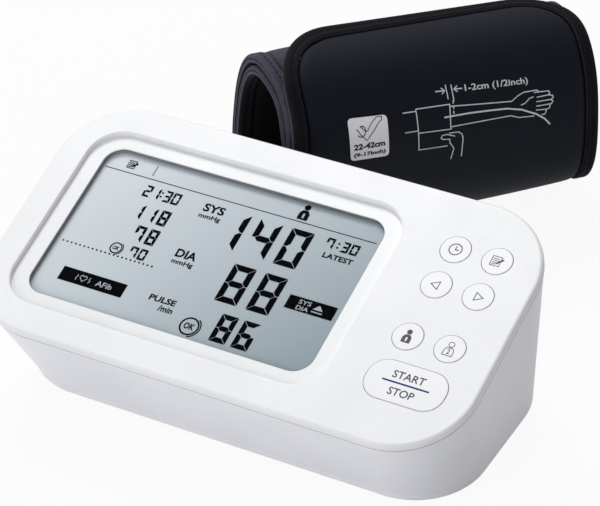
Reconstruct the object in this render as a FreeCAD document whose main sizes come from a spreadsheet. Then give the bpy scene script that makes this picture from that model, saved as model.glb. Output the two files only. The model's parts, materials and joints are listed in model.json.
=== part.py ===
import FreeCAD, Part
import Sketcher
import math
import os

# A desktop upper-arm blood pressure monitor with its rolled cuff standing behind it.
# Row frame, millimetres: the origin is on the table, midway between the four rubber feet.
# +X is to the user's right, +Y is away from the user, +Z is up.
# The face frame lies in the tilted top: X to the right, Y up the slope, Z out of the face.

Vector = FreeCAD.Vector
Placement = FreeCAD.Placement
Rotation = FreeCAD.Rotation

X_AXIS = Vector(1, 0, 0)
Y_AXIS = Vector(0, 1, 0)
Z_AXIS = Vector(0, 0, 1)

SIZES = [
    # the tilted face and the housing
    ("face_width", 220.0, "width of the tilted face"),
    ("face_length", 117.5, "length of the face up its slope"),
    ("face_corner", 32.0, "corner radius of the face"),
    ("face_tilt", 18.5, "slope of the face, in degrees"),
    ("face_height", 66.0, "height of the face's centre above the table"),
    ("face_setback", -12.4, "where the face's centre is, along Y"),
    ("base_inset", 7.3, "how far the base at the table lies inside the face, on each side"),
    ("base_length", 96.4, "depth of the base at the table"),
    ("base_corner", 30.0, "corner radius of the base"),
    ("base_round", 4.0, "rounding along the bottom edge"),
    ("base_upright", 4.4, "height of the base's upright foot, below where it starts to widen"),
    ("foot_height", 1.2, "height of the underside above the table"),
    ("wall", 2.4, "wall of the base case"),
    ("floor_wall", 2.2, "floor of the base case"),
    ("skin", 2.2, "thickness of the top cover's skin"),
    ("rim", 3.2, "height of the top cover's edge"),
    ("rim_round", 1.5, "rounding of the top cover's upper edge"),
    ("lip_height", 3.0, "how far the cover's lip reaches into the base"),
    ("lip_wall", 1.4, "thickness of that lip"),
    ("seam", 0.4, "shadow gap between the cover and the base"),
    ("lip_gap", 1.2, "clearance around the lip, where the walls taper"),
    ("fit_gap", 0.2, "clearance between fixed pieces"),
    ("touch_gap", 0.05, "clearance between pieces that rest on each other"),
    # the display
    ("recess_left", 13.0, "face left of the display recess"),
    ("keys_width", 61.2, "face right of the recess, where the buttons are"),
    ("recess_ends", 13.65, "face above and below the recess"),
    ("recess_corner", 15.0, "corner radius of the recess"),
    ("recess_round", 0.7, "rounding of the recess's upper edge"),
    ("frame_overlap", 2.0, "how far the display frame reaches under the skin"),
    ("frame_wall", 2.2, "thickness of the display frame"),
    ("frame_sides", 7.4, "display frame that shows left and right of its window"),
    ("frame_ends", 6.7, "display frame that shows above and below its window"),
    ("window_corner", 8.5, "corner radius of the window"),
    ("window_rebate", 2.0, "how far the lens reaches under the frame's edge"),
    ("lens_wall", 1.2, "thickness of the clear lens"),
    ("lens_sink", 0.7, "how far the lens lies below the frame's face"),
    ("lcd_wall", 2.6, "thickness of the LCD's glass"),
    ("lcd_corner", 1.0, "corner radius of that glass"),
    ("lcd_margin", 3.0, "LCD glass hidden beyond each side of the window"),
    ("holder_wall", 2.0, "wall of the LCD holder"),
    # the boards and switches
    ("board_depth", 13.0, "depth of the main board's top below the face"),
    ("board_wall", 1.6, "thickness of the main board"),
    ("board_left", 26.0, "distance of the board's left edge from the face's"),
    ("board_right", 10.0, "distance of the board's right edge from the face's"),
    ("board_ends", 9.75, "distance of the board's long edges from the face's"),
    ("board_corner", 12.0, "corner radius of the main board"),
    ("board_boss", 5.0, "diameter of the bosses that carry the board"),
    ("board_screw", 2.2, "thread diameter of the board screws"),
    ("boss_left_y", 4.5, "face Y of the board boss left of the buttons"),
    ("boss_right", 13.4, "distance of the board boss beside the user buttons from the face's right edge"),
    ("boss_right_y", 3.1, "face Y of the board boss beside the user buttons"),
    ("chip_side", 10.0, "grid of the chips under the board"),
    ("switch_side", 6.0, "side of a tact switch"),
    ("switch_height", 3.4, "height of a tact switch's body"),
    ("switch_plunger", 0.9, "height of its plunger"),
    ("mat_wall", 0.8, "thickness of the silicone key mat"),
    ("mat_corner", 4.0, "corner radius of the key mat"),
    ("mat_collar", 1.0, "height of the mat's collars"),
    # the buttons
    ("button_size", 12.4, "diameter of a round button"),
    ("button_gap", 0.25, "clearance around a button"),
    ("button_proud", 0.25, "how far a button stands out of the face"),
    ("button_flange", 1.2, "width of the flange that keeps a button in"),
    ("flange_wall", 1.0, "thickness of that flange"),
    ("button_travel", 0.8, "travel of a button"),
    ("stem_size", 4.0, "diameter of a button's stem"),
    ("column_inset", 37.6, "distance of the left column of buttons from the face's right edge"),
    ("column_pitch", 18.0, "distance between the columns"),
    ("row_top", 33.4, "face Y of the clock and memo buttons"),
    ("row_middle", 15.7, "face Y of the left and right buttons"),
    ("row_user", -9.9, "face Y of the user buttons"),
    ("start_y", -30.4, "face Y of the start/stop key"),
    ("start_width", 33.6, "width of the start/stop key"),
    ("start_length", 17.8, "length of the start/stop key"),
    ("start_corner", 8.0, "corner radius of the start/stop key"),
    # the battery bay
    ("cell_size", 14.5, "diameter of an AA cell"),
    ("cell_length", 50.5, "length of an AA cell"),
    ("cell_pitch", 15.4, "distance between the cells"),
    ("cell_nub", 5.5, "diameter of a cell's positive end"),
    ("cell_nub_height", 1.2, "how far that end stands out"),
    ("contact_wall", 0.5, "thickness of the contact plates"),
    ("contact_height", 7.2, "height of the contact plates"),
    ("bay_left", 4.0, "gap between the battery bay and the feet on its left"),
    ("bay_back", 6.8, "distance of the bay in front of the back posts' axes"),
    ("bay_width", 62.4, "inside width of the bay"),
    ("bay_length", 60.0, "inside length of the bay"),
    ("bay_wall", 1.8, "wall of the bay"),
    ("bay_height", 15.6, "inside height of the bay above the door"),
    ("door_wall", 1.8, "thickness of the battery cover"),
    ("door_gap", 0.4, "clearance around the battery cover"),
    ("pin_size", 2.8, "diameter of the battery cover's hinge pin"),
    ("pin_inset", 2.6, "distance of the hinge pin from the bay's back wall"),
    ("pin_gap", 0.06, "radial clearance of that pin"),
    # feet and screws
    ("foot_size", 10.0, "diameter of a rubber foot"),
    ("foot_sink", 1.2, "how deep a foot sits in the underside"),
    ("foot_side", 18.7, "distance of a foot from the base's side"),
    ("foot_end", 18.2, "distance of a foot from the base's front or back"),
    ("post_size", 8.4, "diameter of a case post"),
    ("post_height", 22.0, "height of a post's top above the table"),
    ("boss_size", 6.4, "diameter of the cover's bosses above the posts"),
    ("post_right", 9.8, "distance of the right-hand posts from the display recess"),
    ("post_left", 31.7, "distance of the left-hand post from the base's left side"),
    ("post_back", 5.5, "distance of the back posts from the back of the face or base, the nearer"),
    ("post_front", 15.2, "distance of the front post from the front of the base"),
    ("screw_size", 3.0, "thread diameter of a case screw"),
    ("screw_head", 5.4, "head diameter of a case screw"),
    ("screw_head_height", 2.0, "head height of a case screw"),
    ("screw_sink", 13.0, "height of the screw head's seat above the underside"),
    ("pilot_room", 1.0, "depth of a screw hole beyond the screw's tip"),
    ("screw_length", 16.0, "length of a case screw under its head"),
    # the air parts
    ("jack_y", 12.0, "Y of the air jack"),
    ("jack_z", 26.0, "height of the air jack"),
    ("jack_size", 13.0, "diameter of the air jack's barrel"),
    ("jack_flange", 16.2, "diameter of the flange inside the wall"),
    ("jack_bore", 7.4, "diameter of the air jack's socket"),
    ("jack_depth", 12.0, "depth of the socket"),
    ("jack_length", 17.0, "length of the barrel"),
    ("jack_reach", 3.9, "how far the jack's mouth lies beyond the base's side at the table"),
    ("nipple_size", 2.9, "diameter of an air nipple"),
    ("nipple_bore", 1.2, "air way through a nipple"),
    ("nipple_length", 4.0, "length of a nipple"),
    ("tube_size", 6.0, "outer diameter of the silicone tube"),
    ("tube_bore", 3.0, "inner diameter of the silicone tube"),
    ("manifold_gap", 11.0, "gap between the battery bay and the manifold"),
    ("manifold_side", 14.0, "side of the manifold"),
    ("manifold_top", 29.0, "height of the manifold's top"),
    ("pump_back", 34.2, "distance of the pump's axis from the back of the base"),
    ("motor_size", 24.0, "diameter of the pump motor"),
    ("motor_length", 31.0, "length of the pump motor"),
    ("head_gap", 10.0, "gap between the manifold and the pump head"),
    ("head_size", 28.0, "side of the pump head"),
    ("head_length", 19.0, "length of the pump head"),
    ("head_wall", 2.0, "wall of the pump head"),
    ("shaft_size", 2.0, "diameter of the pump shaft"),
    ("shaft_gap", 0.05, "radial clearance of the shaft in its bearings"),
    ("shaft_length", 36.0, "length of the shaft"),
    ("shaft_end", 1.0, "how far the shaft stands out beyond the eccentric"),
    ("cam_size", 8.0, "diameter of the eccentric"),
    ("cam_offset", 1.2, "throw of the eccentric"),
    ("cam_clear", 4.0, "gap between the eccentric and the motor"),
    ("cam_wall", 5.0, "thickness of the eccentric"),
    ("cradle_length", 16.0, "length of the pump cradle"),
    ("cradle_wall", 2.5, "wall of the pump cradle"),
    ("valve_gap", 15.0, "gap between the manifold and the exhaust valve, along X"),
    ("valve_y", -17.0, "Y of the valve's axis"),
    ("valve_size", 14.0, "diameter of the exhaust valve"),
    ("valve_length", 20.0, "length of the exhaust valve"),
    ("plunger_size", 3.0, "diameter of the valve's plunger"),
    ("plunger_travel", 1.5, "travel of the plunger"),
    ("sensor_y", 14.3, "face Y of the pressure sensor"),
    ("sensor_side", 8.0, "side of the pressure sensor"),
    ("sensor_height", 4.5, "height of the pressure sensor"),
    # the power socket
    ("power_x", 32.0, "X of the DC jack"),
    ("power_z", 17.0, "height of the DC jack"),
    ("power_width", 9.0, "width of the DC jack's body"),
    ("power_height", 11.0, "height of the DC jack's body"),
    ("power_length", 14.0, "length of the DC jack's body"),
    ("power_bore", 6.2, "diameter of the DC socket"),
    ("power_pin", 2.0, "diameter of its centre pin"),
    ("power_depth", 9.5, "depth of the DC socket"),
    # the rolled cuff
    ("cuff_x", -52.0, "X of the roll's axis at its left end"),
    ("cuff_behind", 32.2, "distance of that end of the axis behind the base"),
    ("cuff_yaw", 50.0, "direction of the roll's axis from +X, in degrees"),
    ("cuff_width", 144.8, "width of the cuff, along the roll's axis"),
    ("left_depth", 80.0, "depth of the roll at its left end"),
    ("left_height", 108.5, "height of the roll at its left end"),
    ("right_depth", 65.4, "depth of the roll at its right end"),
    ("right_height", 88.9, "height of the roll at its right end"),
    ("roll_lean", 0.36, "forward lean of the roll's left end for each unit of height; none at its right"),
    ("roll_square", 2.6, "exponent of the roll's oval: 2 is an ellipse"),
    ("roll_turns", 2.3, "turns of the roll"),
    ("flap_angle", -11.5, "where the free end lies, in degrees from the top over the front"),
    ("bladder_turn", 1.15, "turns of the roll before the bladder starts"),
    ("turn_gap", 1.0, "gap between one turn and the next"),
    ("cover_wall", 1.2, "thickness of each fabric cover"),
    ("bladder_wall", 0.7, "thickness of the empty bladder"),
    ("former_wall", 0.5, "thickness of the curl former"),
    ("layer_gap", 0.3, "gap between the cuff's layers"),
    ("binding_width", 6.0, "width of the edge binding"),
    ("binding_proud", 0.25, "how far the binding stands proud of the covers"),
    ("roll_stand", 0.4, "height of the covers over the table where the roll stands on it"),
    ("flap_lift", 7.6, "how far the free end stands off the roll at its left; none at its right"),
    ("telescope", 0.5, "how far each turn stands out beyond the one outside it"),
    ("lining_wall", 1.0, "thickness of the interlining"),
    ("lining_gap", 5.0, "gap between the ends of the interlining, the former and the bladder"),
    ("hook_start", 7.0, "distance of the hook patch from the binding"),
    ("hook_length", 42.0, "length of the hook patch"),
    ("hook_inset", 18.0, "distance of the hook patch from the cuff's long edges"),
    ("hook_wall", 0.35, "thickness of the hook patch"),
    ("label_angle", 52.0, "where the size label starts, in degrees from the top over the front"),
    ("label_inset", 24.5, "distance of the size label from the roll's left end"),
    ("label_width", 18.5, "width of the size label"),
    ("label_length", 22.0, "length of the size label, round the roll"),
    ("label_wall", 0.4, "thickness of the size label"),
    ("port_inset", 24.0, "distance of the hose port from the roll's right end"),
    ("port_angle", 268.0, "where the hose port is, in degrees from the top over the front"),
    ("port_sink", 0.3, "gap between the hose port and the cover, for the cover's curve"),
    ("port_size", 9.0, "diameter of the hose port's base"),
    ("port_spigot", 5.2, "diameter of the hose port's spigot"),
    ("port_length", 10.0, "length of the hose port's spigot"),
]

doc = FreeCAD.newDocument("arm_blood_pressure_monitor")
sheet = doc.addObject("Spreadsheet::Sheet", "Sizes")


class Size:
    """A length that knows both its number and the formula that gives it in the document."""

    def __init__(self, number, formula):
        self.number = number
        self.formula = formula

    def __float__(self):
        return float(self.number)

    def __add__(self, other):
        other = as_size(other)
        return Size(self.number + other.number, "(%s + %s)" % (self.formula, other.formula))

    def __sub__(self, other):
        other = as_size(other)
        return Size(self.number - other.number, "(%s - %s)" % (self.formula, other.formula))

    def __mul__(self, other):
        other = as_size(other)
        return Size(self.number * other.number, "(%s * %s)" % (self.formula, other.formula))

    def __truediv__(self, other):
        other = as_size(other)
        return Size(self.number / other.number, "(%s / %s)" % (self.formula, other.formula))

    def __neg__(self):
        return Size(-self.number, "(0 - %s)" % self.formula)

    def __radd__(self, other):
        return as_size(other) + self

    def __rsub__(self, other):
        return as_size(other) - self

    def __rmul__(self, other):
        return as_size(other) * self


def as_size(value):
    return value if isinstance(value, Size) else Size(value, repr(float(value)))


class Sizes:
    """Every row of the sheet, as an attribute."""


def fill_sheet():
    """Write the driving sizes into the sheet and return them by name."""
    sizes = Sizes()
    for row, (name, number, meaning) in enumerate(SIZES, start=1):
        sheet.set("A%d" % row, name)
        sheet.set("B%d" % row, str(number))
        sheet.set("C%d" % row, meaning)
        sheet.setAlias("B%d" % row, name)
        setattr(sizes, name, Size(number, "Sizes." + name))
    doc.recompute()
    return sizes


S = fill_sheet()
FACE = Placement(
    Vector(0, float(S.face_setback), float(S.face_height)), Rotation(X_AXIS, float(S.face_tilt)))

TILT_COS = Size(math.cos(math.radians(float(S.face_tilt))), "cos(Sizes.face_tilt * 1 deg)")
TILT_SIN = Size(math.sin(math.radians(float(S.face_tilt))), "sin(Sizes.face_tilt * 1 deg)")


def smaller(one, other):
    return Size(min(one.number, other.number), "min(%s; %s)" % (one.formula, other.formula))


# sizes and places that follow from the sheet's
FACE_BACK = S.face_setback + S.face_length / 2 * TILT_COS
BASE_WIDTH = S.face_width - 2 * S.base_inset
RECESS_WIDTH = S.face_width - S.recess_left - S.keys_width
RECESS_LENGTH = S.face_length - 2 * S.recess_ends
DISPLAY_X = S.recess_left + RECESS_WIDTH / 2 - S.face_width / 2
WINDOW_WIDTH = RECESS_WIDTH - 2 * S.frame_sides
WINDOW_LENGTH = RECESS_LENGTH - 2 * S.frame_ends
BOARD_WIDTH = S.face_width - S.board_left - S.board_right
BOARD_LENGTH = S.face_length - 2 * S.board_ends
BOARD_X = (S.board_left - S.board_right) / 2
BOSS_RIGHT_X = S.face_width / 2 - S.boss_right
COLUMN_LEFT = S.face_width / 2 - S.column_inset
FOOT_X = BASE_WIDTH / 2 - S.foot_side
FOOT_Y = S.base_length / 2 - S.foot_end
POST_RIGHT_X = DISPLAY_X + RECESS_WIDTH / 2 + S.post_right
POST_LEFT_X = S.post_left - BASE_WIDTH / 2
POST_BACK_Y = smaller(S.base_length / 2, FACE_BACK) - S.post_back
POST_FRONT_Y = S.post_front - S.base_length / 2
BAY_X = -FOOT_X + S.foot_size / 2 + S.bay_left + S.bay_wall + S.bay_width / 2
BAY_Y = POST_BACK_Y - S.bay_back - S.bay_length / 2
JACK_END = BASE_WIDTH / 2 + S.jack_reach
MANIFOLD_X = BAY_X + S.bay_width / 2 + S.bay_wall + S.manifold_gap + S.manifold_side / 2
HEAD_START = MANIFOLD_X + S.manifold_side / 2 + S.head_gap
VALVE_X = MANIFOLD_X + S.manifold_side / 2 + S.valve_gap
PUMP_Y = S.base_length / 2 - S.pump_back
CUFF_Y = S.base_length / 2 + S.cuff_behind


def bind(thing, **sizes):
    """Tie properties to formulas; a double underscore in a name stands for a dot."""
    for name, size in sizes.items():
        thing.setExpression(name.replace("__", "."), as_size(size).formula)


def on_face(thing):
    """Put an object that is drawn in the face frame in its place on the tilted face."""
    thing.Placement = FACE
    bind(thing, Placement__Base__y=S.face_setback, Placement__Base__z=S.face_height,
         Placement__Rotation__Angle=S.face_tilt)


# outlines for sketches: each function returns one that draws itself about a sketch's origin

def circle(diameter):
    def draw(sketch):
        sketch.addGeometry(Part.Circle(Vector(0, 0, 0), Z_AXIS, float(diameter) / 2))
        sketch.addConstraint(Sketcher.Constraint("Coincident", 0, 3, -1, 1))
        index = sketch.addConstraint(Sketcher.Constraint("Diameter", 0, float(diameter)))
        sketch.renameConstraint(index, "size")
        bind(sketch, Constraints__size=diameter)
    return draw


def rounded(width, length, radius):
    """A rectangle with round corners."""
    def draw(sketch):
        reach_x = float(width) / 2 - float(radius)
        reach_y = float(length) / 2 - float(radius)
        for quarter, (sign_x, sign_y) in enumerate([(1, 1), (-1, 1), (-1, -1), (1, -1)]):
            centre = Vector(sign_x * reach_x, sign_y * reach_y, 0)
            ring = Part.Circle(centre, Z_AXIS, float(radius))
            start = quarter * math.pi / 2
            sketch.addGeometry(Part.ArcOfCircle(ring, start, start + math.pi / 2))
        for quarter in range(4):
            arc = sketch.Geometry[quarter]
            following = sketch.Geometry[(quarter + 1) % 4]
            sketch.addGeometry(Part.LineSegment(arc.EndPoint, following.StartPoint))
        for quarter in range(4):
            side = 4 + quarter
            sketch.addConstraint(Sketcher.Constraint("Tangent", quarter, 2, side, 1))
            sketch.addConstraint(Sketcher.Constraint("Tangent", side, 2, (quarter + 1) % 4, 1))
            if quarter:
                sketch.addConstraint(Sketcher.Constraint("Equal", 0, quarter))
        sketch.addConstraint(Sketcher.Constraint("Horizontal", 4))
        sketch.addConstraint(Sketcher.Constraint("Vertical", 5))
        sketch.addConstraint(Sketcher.Constraint("Symmetric", 0, 3, 2, 3, -1, 1))
        named = [("wide", Sketcher.Constraint("DistanceX", 5, 1, 7, 1, float(width)), width),
                 ("long", Sketcher.Constraint("DistanceY", 6, 1, 4, 1, float(length)), length),
                 ("corner", Sketcher.Constraint("Radius", 0, float(radius)), radius)]
        for name, constraint, size in named:
            sketch.renameConstraint(sketch.addConstraint(constraint), name)
            sketch.setExpression("Constraints." + name, as_size(size).formula)
    return draw


def box_outline(width, length):
    """A plain rectangle about the origin."""
    def draw(sketch):
        half_x, half_y = float(width) / 2, float(length) / 2
        corners = [Vector(half_x, half_y, 0), Vector(-half_x, half_y, 0),
                   Vector(-half_x, -half_y, 0), Vector(half_x, -half_y, 0)]
        for number, corner in enumerate(corners):
            sketch.addGeometry(Part.LineSegment(corner, corners[(number + 1) % 4]))
        for number in range(4):
            sketch.addConstraint(Sketcher.Constraint("Coincident", number, 2, (number + 1) % 4, 1))
        for number, direction in enumerate(["Horizontal", "Vertical", "Horizontal", "Vertical"]):
            sketch.addConstraint(Sketcher.Constraint(direction, number))
        sketch.addConstraint(Sketcher.Constraint("Symmetric", 0, 1, 2, 1, -1, 1))
        named = [("wide", Sketcher.Constraint("DistanceX", 0, 2, 0, 1, float(width)), width),
                 ("long", Sketcher.Constraint("DistanceY", 1, 2, 1, 1, float(length)), length)]
        for name, constraint, size in named:
            sketch.renameConstraint(sketch.addConstraint(constraint), name)
            sketch.setExpression("Constraints." + name, as_size(size).formula)
    return draw


class Piece:
    """A sub-part made as a PartDesign body, padded up and cut down from level sketches."""

    def __init__(self, label, tilted=False):
        self.body = doc.addObject("PartDesign::Body", label)
        self.body.Label = label
        if tilted:
            on_face(self.body)

    def sketch(self, outline, x, y, z):
        sketch = self.body.newObject("Sketcher::SketchObject", self.body.Name + "_outline")
        plane = [item for item in self.body.Origin.OriginFeatures if item.Role == "XY_Plane"][0]
        sketch.AttachmentSupport = [(plane, "")]
        sketch.MapMode = "FlatFace"
        bind(sketch, AttachmentOffset__Base__x=x, AttachmentOffset__Base__y=y,
             AttachmentOffset__Base__z=z)
        outline(sketch)
        return sketch

    def pad(self, outline, z, height, x=0, y=0):
        """Add material from level z up."""
        pad = self.body.newObject("PartDesign::Pad", self.body.Name + "_pad")
        pad.Profile = self.sketch(outline, x, y, z)
        bind(pad, Length=height)
        return self

    def cut(self, outline, z, depth, x=0, y=0):
        """Take material away from level z down."""
        pocket = self.body.newObject("PartDesign::Pocket", self.body.Name + "_cut")
        pocket.Profile = self.sketch(outline, x, y, z)
        bind(pocket, Length=depth)
        return self

    def round_edges(self, radius, wanted):
        """Round the edges of the present shape that wanted() picks."""
        doc.recompute()
        base = self.body.Tip
        names = ["Edge%d" % (index + 1) for index, edge in enumerate(base.Shape.Edges) if wanted(edge)]
        fillet = self.body.newObject("PartDesign::Fillet", self.body.Name + "_round")
        fillet.Base = (base, names)
        bind(fillet, Radius=radius)
        return self


def primitive(kind, name, x, y, z, direction=Z_AXIS, **sizes):
    """A Part primitive; round ones stand on their base's centre and point along direction."""
    thing = doc.addObject("Part::" + kind, name)
    bind(thing, Placement__Base__x=x, Placement__Base__y=y, Placement__Base__z=z, **sizes)
    turn = Rotation(Z_AXIS, direction)
    thing.Placement = Placement(Vector(float(x), float(y), float(z)), turn)
    return thing


def cylinder(name, diameter, height, x, y, z, direction=Z_AXIS):
    return primitive("Cylinder", name, x, y, z, direction, Radius=diameter / 2, Height=height)


def block(name, width, length, height, x, y, z):
    """A box about (x, y) that stands on level z."""
    return primitive("Box", name, x - width / 2, y - length / 2, z,
                     Length=width, Width=length, Height=height)


def group(label, members):
    """One node of several separate solids."""
    compound = doc.addObject("Part::Compound", label)
    compound.Label = label
    compound.Links = members
    return compound


def fused(name, members):
    union = doc.addObject("Part::MultiFuse", name)
    union.Shapes = members
    return union


def without(label, base, tools):
    """Base with every tool cut out of it."""
    tool = tools[0] if len(tools) == 1 else fused(label + "_tools", tools)
    cut = doc.addObject("Part::Cut", label)
    cut.Label = label
    cut.Base = base
    cut.Tool = tool
    return cut


def solid_feature(label, shape):
    """A sub-part whose shape is worked out in code from the sheet's sizes."""
    feature = doc.addObject("Part::Feature", label)
    feature.Label = label
    feature.Shape = shape
    return feature


NODES = []


def keep(thing):
    NODES.append(thing.body if isinstance(thing, Piece) else thing)


def face_outline(inset):
    """The face's outline, moved inwards."""
    return rounded(S.face_width - 2 * inset, S.face_length - 2 * inset, S.face_corner - inset)


BUTTONS = [
    ("button_clock", COLUMN_LEFT, S.row_top),
    ("button_memo", COLUMN_LEFT + S.column_pitch, S.row_top),
    ("button_left", COLUMN_LEFT, S.row_middle),
    ("button_right", COLUMN_LEFT + S.column_pitch, S.row_middle),
    ("button_user_1", COLUMN_LEFT, S.row_user),
    ("button_user_2", COLUMN_LEFT + S.column_pitch, S.row_user),
]
START_X = COLUMN_LEFT + S.column_pitch / 2
CASE_SCREWS = [(POST_LEFT_X, POST_BACK_Y), (POST_RIGHT_X, POST_BACK_Y),
               (POST_RIGHT_X, POST_FRONT_Y)]
FEET = [(side_x * FOOT_X, side_y * FOOT_Y) for side_x in (-1, 1) for side_y in (-1, 1)]
FLOOR = S.foot_height + S.floor_wall
UNDER_LIP = -(S.rim + S.lip_height)
PIN_Z = S.foot_height + S.door_wall + S.door_gap
PIN_Y = BAY_Y + S.bay_length / 2 - S.pin_inset
BAY_TOP = PIN_Z + S.bay_height

# where things lie on the face's normal
FRAME_TOP = -(S.skin + S.touch_gap)
FRAME_BOTTOM = FRAME_TOP - S.frame_wall
LENS_TOP = FRAME_TOP - S.lens_sink
LCD_TOP = FRAME_BOTTOM - S.touch_gap
LCD_BOTTOM = LCD_TOP - S.lcd_wall
LCD_WIDTH = WINDOW_WIDTH + 2 * S.lcd_margin
LCD_LENGTH = WINDOW_LENGTH + 2 * S.lcd_margin
BOARD_TOP = -S.board_depth
BOARD_BOTTOM = BOARD_TOP - S.board_wall
SWITCH_TOP = BOARD_TOP + S.switch_height
STEM_END = SWITCH_TOP + S.switch_plunger + S.button_travel + 2 * S.touch_gap

# the board's screws: two in bosses of the cover, two in bosses of the display frame
FRAME_BOSS_Y = LCD_LENGTH / 2 + S.fit_gap + S.board_boss / 2 + S.touch_gap
COVER_BOSSES = [(POST_RIGHT_X, S.boss_left_y), (BOSS_RIGHT_X, S.boss_right_y)]
FRAME_BOSSES = [(DISPLAY_X - LCD_WIDTH / 4, side * FRAME_BOSS_Y) for side in (1, -1)]

PUMP_Z = FLOOR + S.head_size / 2 + S.touch_gap
VALVE_Z = FLOOR + S.valve_size / 2 + S.touch_gap
MOTOR_START = HEAD_START + S.head_length
SCREW_SEAT = S.foot_height + S.screw_sink


def world_of_face(y, z):
    """The row frame's Y and Z of a point of the face frame."""
    return (S.face_setback + y * TILT_COS - z * TILT_SIN,
            S.face_height + y * TILT_SIN + z * TILT_COS)


def case_columns(name, diameter, bottom, height):
    """An upright cylinder on every case screw's axis."""
    return [cylinder(name, diameter, height, x, y, bottom) for x, y in CASE_SCREWS]


# the housing

def at_level(level):
    return lambda edge: all(abs(vertex.Z - float(level)) < 1e-4 for vertex in edge.Vertexes)


def recess_edge(edge):
    """An upper edge of the display recess."""
    inside = all(abs(vertex.X - float(DISPLAY_X)) < float(RECESS_WIDTH) / 2 + 0.01
                 and abs(vertex.Y) < float(RECESS_LENGTH) / 2 + 0.01 for vertex in edge.Vertexes)
    return inside and at_level(0)(edge)


def top_cover():
    lip = S.wall + S.lip_gap
    shell = Piece("top_cover_shell", tilted=True)
    shell.pad(face_outline(0), -S.rim, S.rim)
    shell.round_edges(S.rim_round, at_level(0))
    shell.pad(face_outline(lip), UNDER_LIP, S.lip_height)
    shell.cut(face_outline(lip + S.lip_wall), -S.skin, S.rim + S.lip_height)
    shell.cut(rounded(RECESS_WIDTH, RECESS_LENGTH, S.recess_corner), 0, S.rim, x=DISPLAY_X)
    shell.round_edges(S.recess_round, recess_edge)
    for _, x, y in BUTTONS:
        shell.cut(circle(S.button_size + 2 * S.button_gap), 0, S.rim, x, y)
    shell.cut(rounded(S.start_width + 2 * S.button_gap, S.start_length + 2 * S.button_gap,
                      S.start_corner + S.button_gap), 0, S.rim, START_X, S.start_y)
    for x, y in COVER_BOSSES:
        shell.pad(circle(S.board_boss), BOARD_TOP, -BOARD_TOP - S.skin, x, y)
        shell.cut(circle(S.board_screw + 2 * S.touch_gap), -S.skin, S.board_depth, x, y)
    inside = block("boss_limit", S.face_width, S.face_length, S.face_height, 0, 0, 0)
    below = -S.face_height - S.skin / 2
    limit_y, limit_z = world_of_face(-S.face_length / 2, below)
    inside.Placement = Placement(Vector(-float(S.face_width) / 2, float(limit_y), float(limit_z)),
                                 FACE.Rotation)
    bind(inside, Placement__Base__y=limit_y, Placement__Base__z=limit_z,
         Placement__Rotation__Angle=S.face_tilt)
    columns = fused("cover_columns", case_columns(
        "cover_column", S.boss_size, S.post_height + S.touch_gap, S.face_height))
    bosses = doc.addObject("Part::Common", "cover_bosses")
    bosses.Base = columns
    bosses.Tool = inside
    holes = case_columns("cover_pilot", S.screw_size + 2 * S.touch_gap, S.post_height,
                         S.screw_length - (S.post_height - SCREW_SEAT) + S.pilot_room)
    keep(without("top_cover", fused("cover_with_bosses", [shell.body, bosses]), holes))


def tilted_outline(piece, outline, depth):
    """A sketch of the piece that lies parallel to the face, depth below it."""
    sketch = piece.sketch(outline, 0, 0, 0)
    y, z = world_of_face(0, -depth)
    sketch.AttachmentOffset = Placement(Vector(0, float(y), float(z)),
                                        Rotation(X_AXIS, float(S.face_tilt)))
    bind(sketch, AttachmentOffset__Base__y=y, AttachmentOffset__Base__z=z,
         AttachmentOffset__Rotation__Angle=S.face_tilt)
    return sketch


def taper(piece, lower, lower_level, upper, upper_depth):
    """Add material from a level outline up to an outline that is parallel to the face."""
    feature = piece.body.newObject("PartDesign::AdditiveLoft", piece.body.Name + "_loft")
    feature.Profile = piece.sketch(lower, 0, 0, lower_level)
    feature.Sections = [tilted_outline(piece, upper, upper_depth)]
    feature.Ruled = True


def base_outline(inset):
    return rounded(BASE_WIDTH - 2 * inset, S.base_length - 2 * inset, S.base_corner - inset)


def base_fittings():
    """The battery bay's walls, the screw posts and the DC jack's rest, before they are bored."""
    fittings = Piece("base_fittings")
    height = BAY_TOP + S.bay_wall - S.foot_height
    fittings.pad(box_outline(S.bay_width + 2 * S.bay_wall, S.bay_length + 2 * S.bay_wall),
                 S.foot_height, height, BAY_X, BAY_Y)
    for x, y in CASE_SCREWS:
        fittings.pad(circle(S.post_size), S.foot_height, S.post_height - S.foot_height, x, y)
    rest_height = S.power_z - S.power_height / 2 - S.foot_height
    fittings.pad(box_outline(S.power_width, S.power_length), S.foot_height, rest_height - S.touch_gap,
                 S.power_x, power_back() - S.power_length / 2)
    return fittings.body


def base_hollows():
    """The bay's inside, the screw bores and the recesses of the feet."""
    hollows = Piece("base_hollows")
    hollows.pad(box_outline(S.bay_width, S.bay_length), 0, BAY_TOP, BAY_X, BAY_Y)
    for x, y in CASE_SCREWS:
        hollows.pad(circle(S.screw_head + 2 * S.fit_gap), 0, SCREW_SEAT, x, y)
        hollows.pad(circle(S.screw_size + 2 * S.fit_gap), SCREW_SEAT, S.post_height, x, y)
    for x, y in FEET:
        hollows.pad(circle(S.foot_size + 2 * S.touch_gap), 0, S.foot_height + S.foot_sink, x, y)
    return hollows.body


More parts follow.
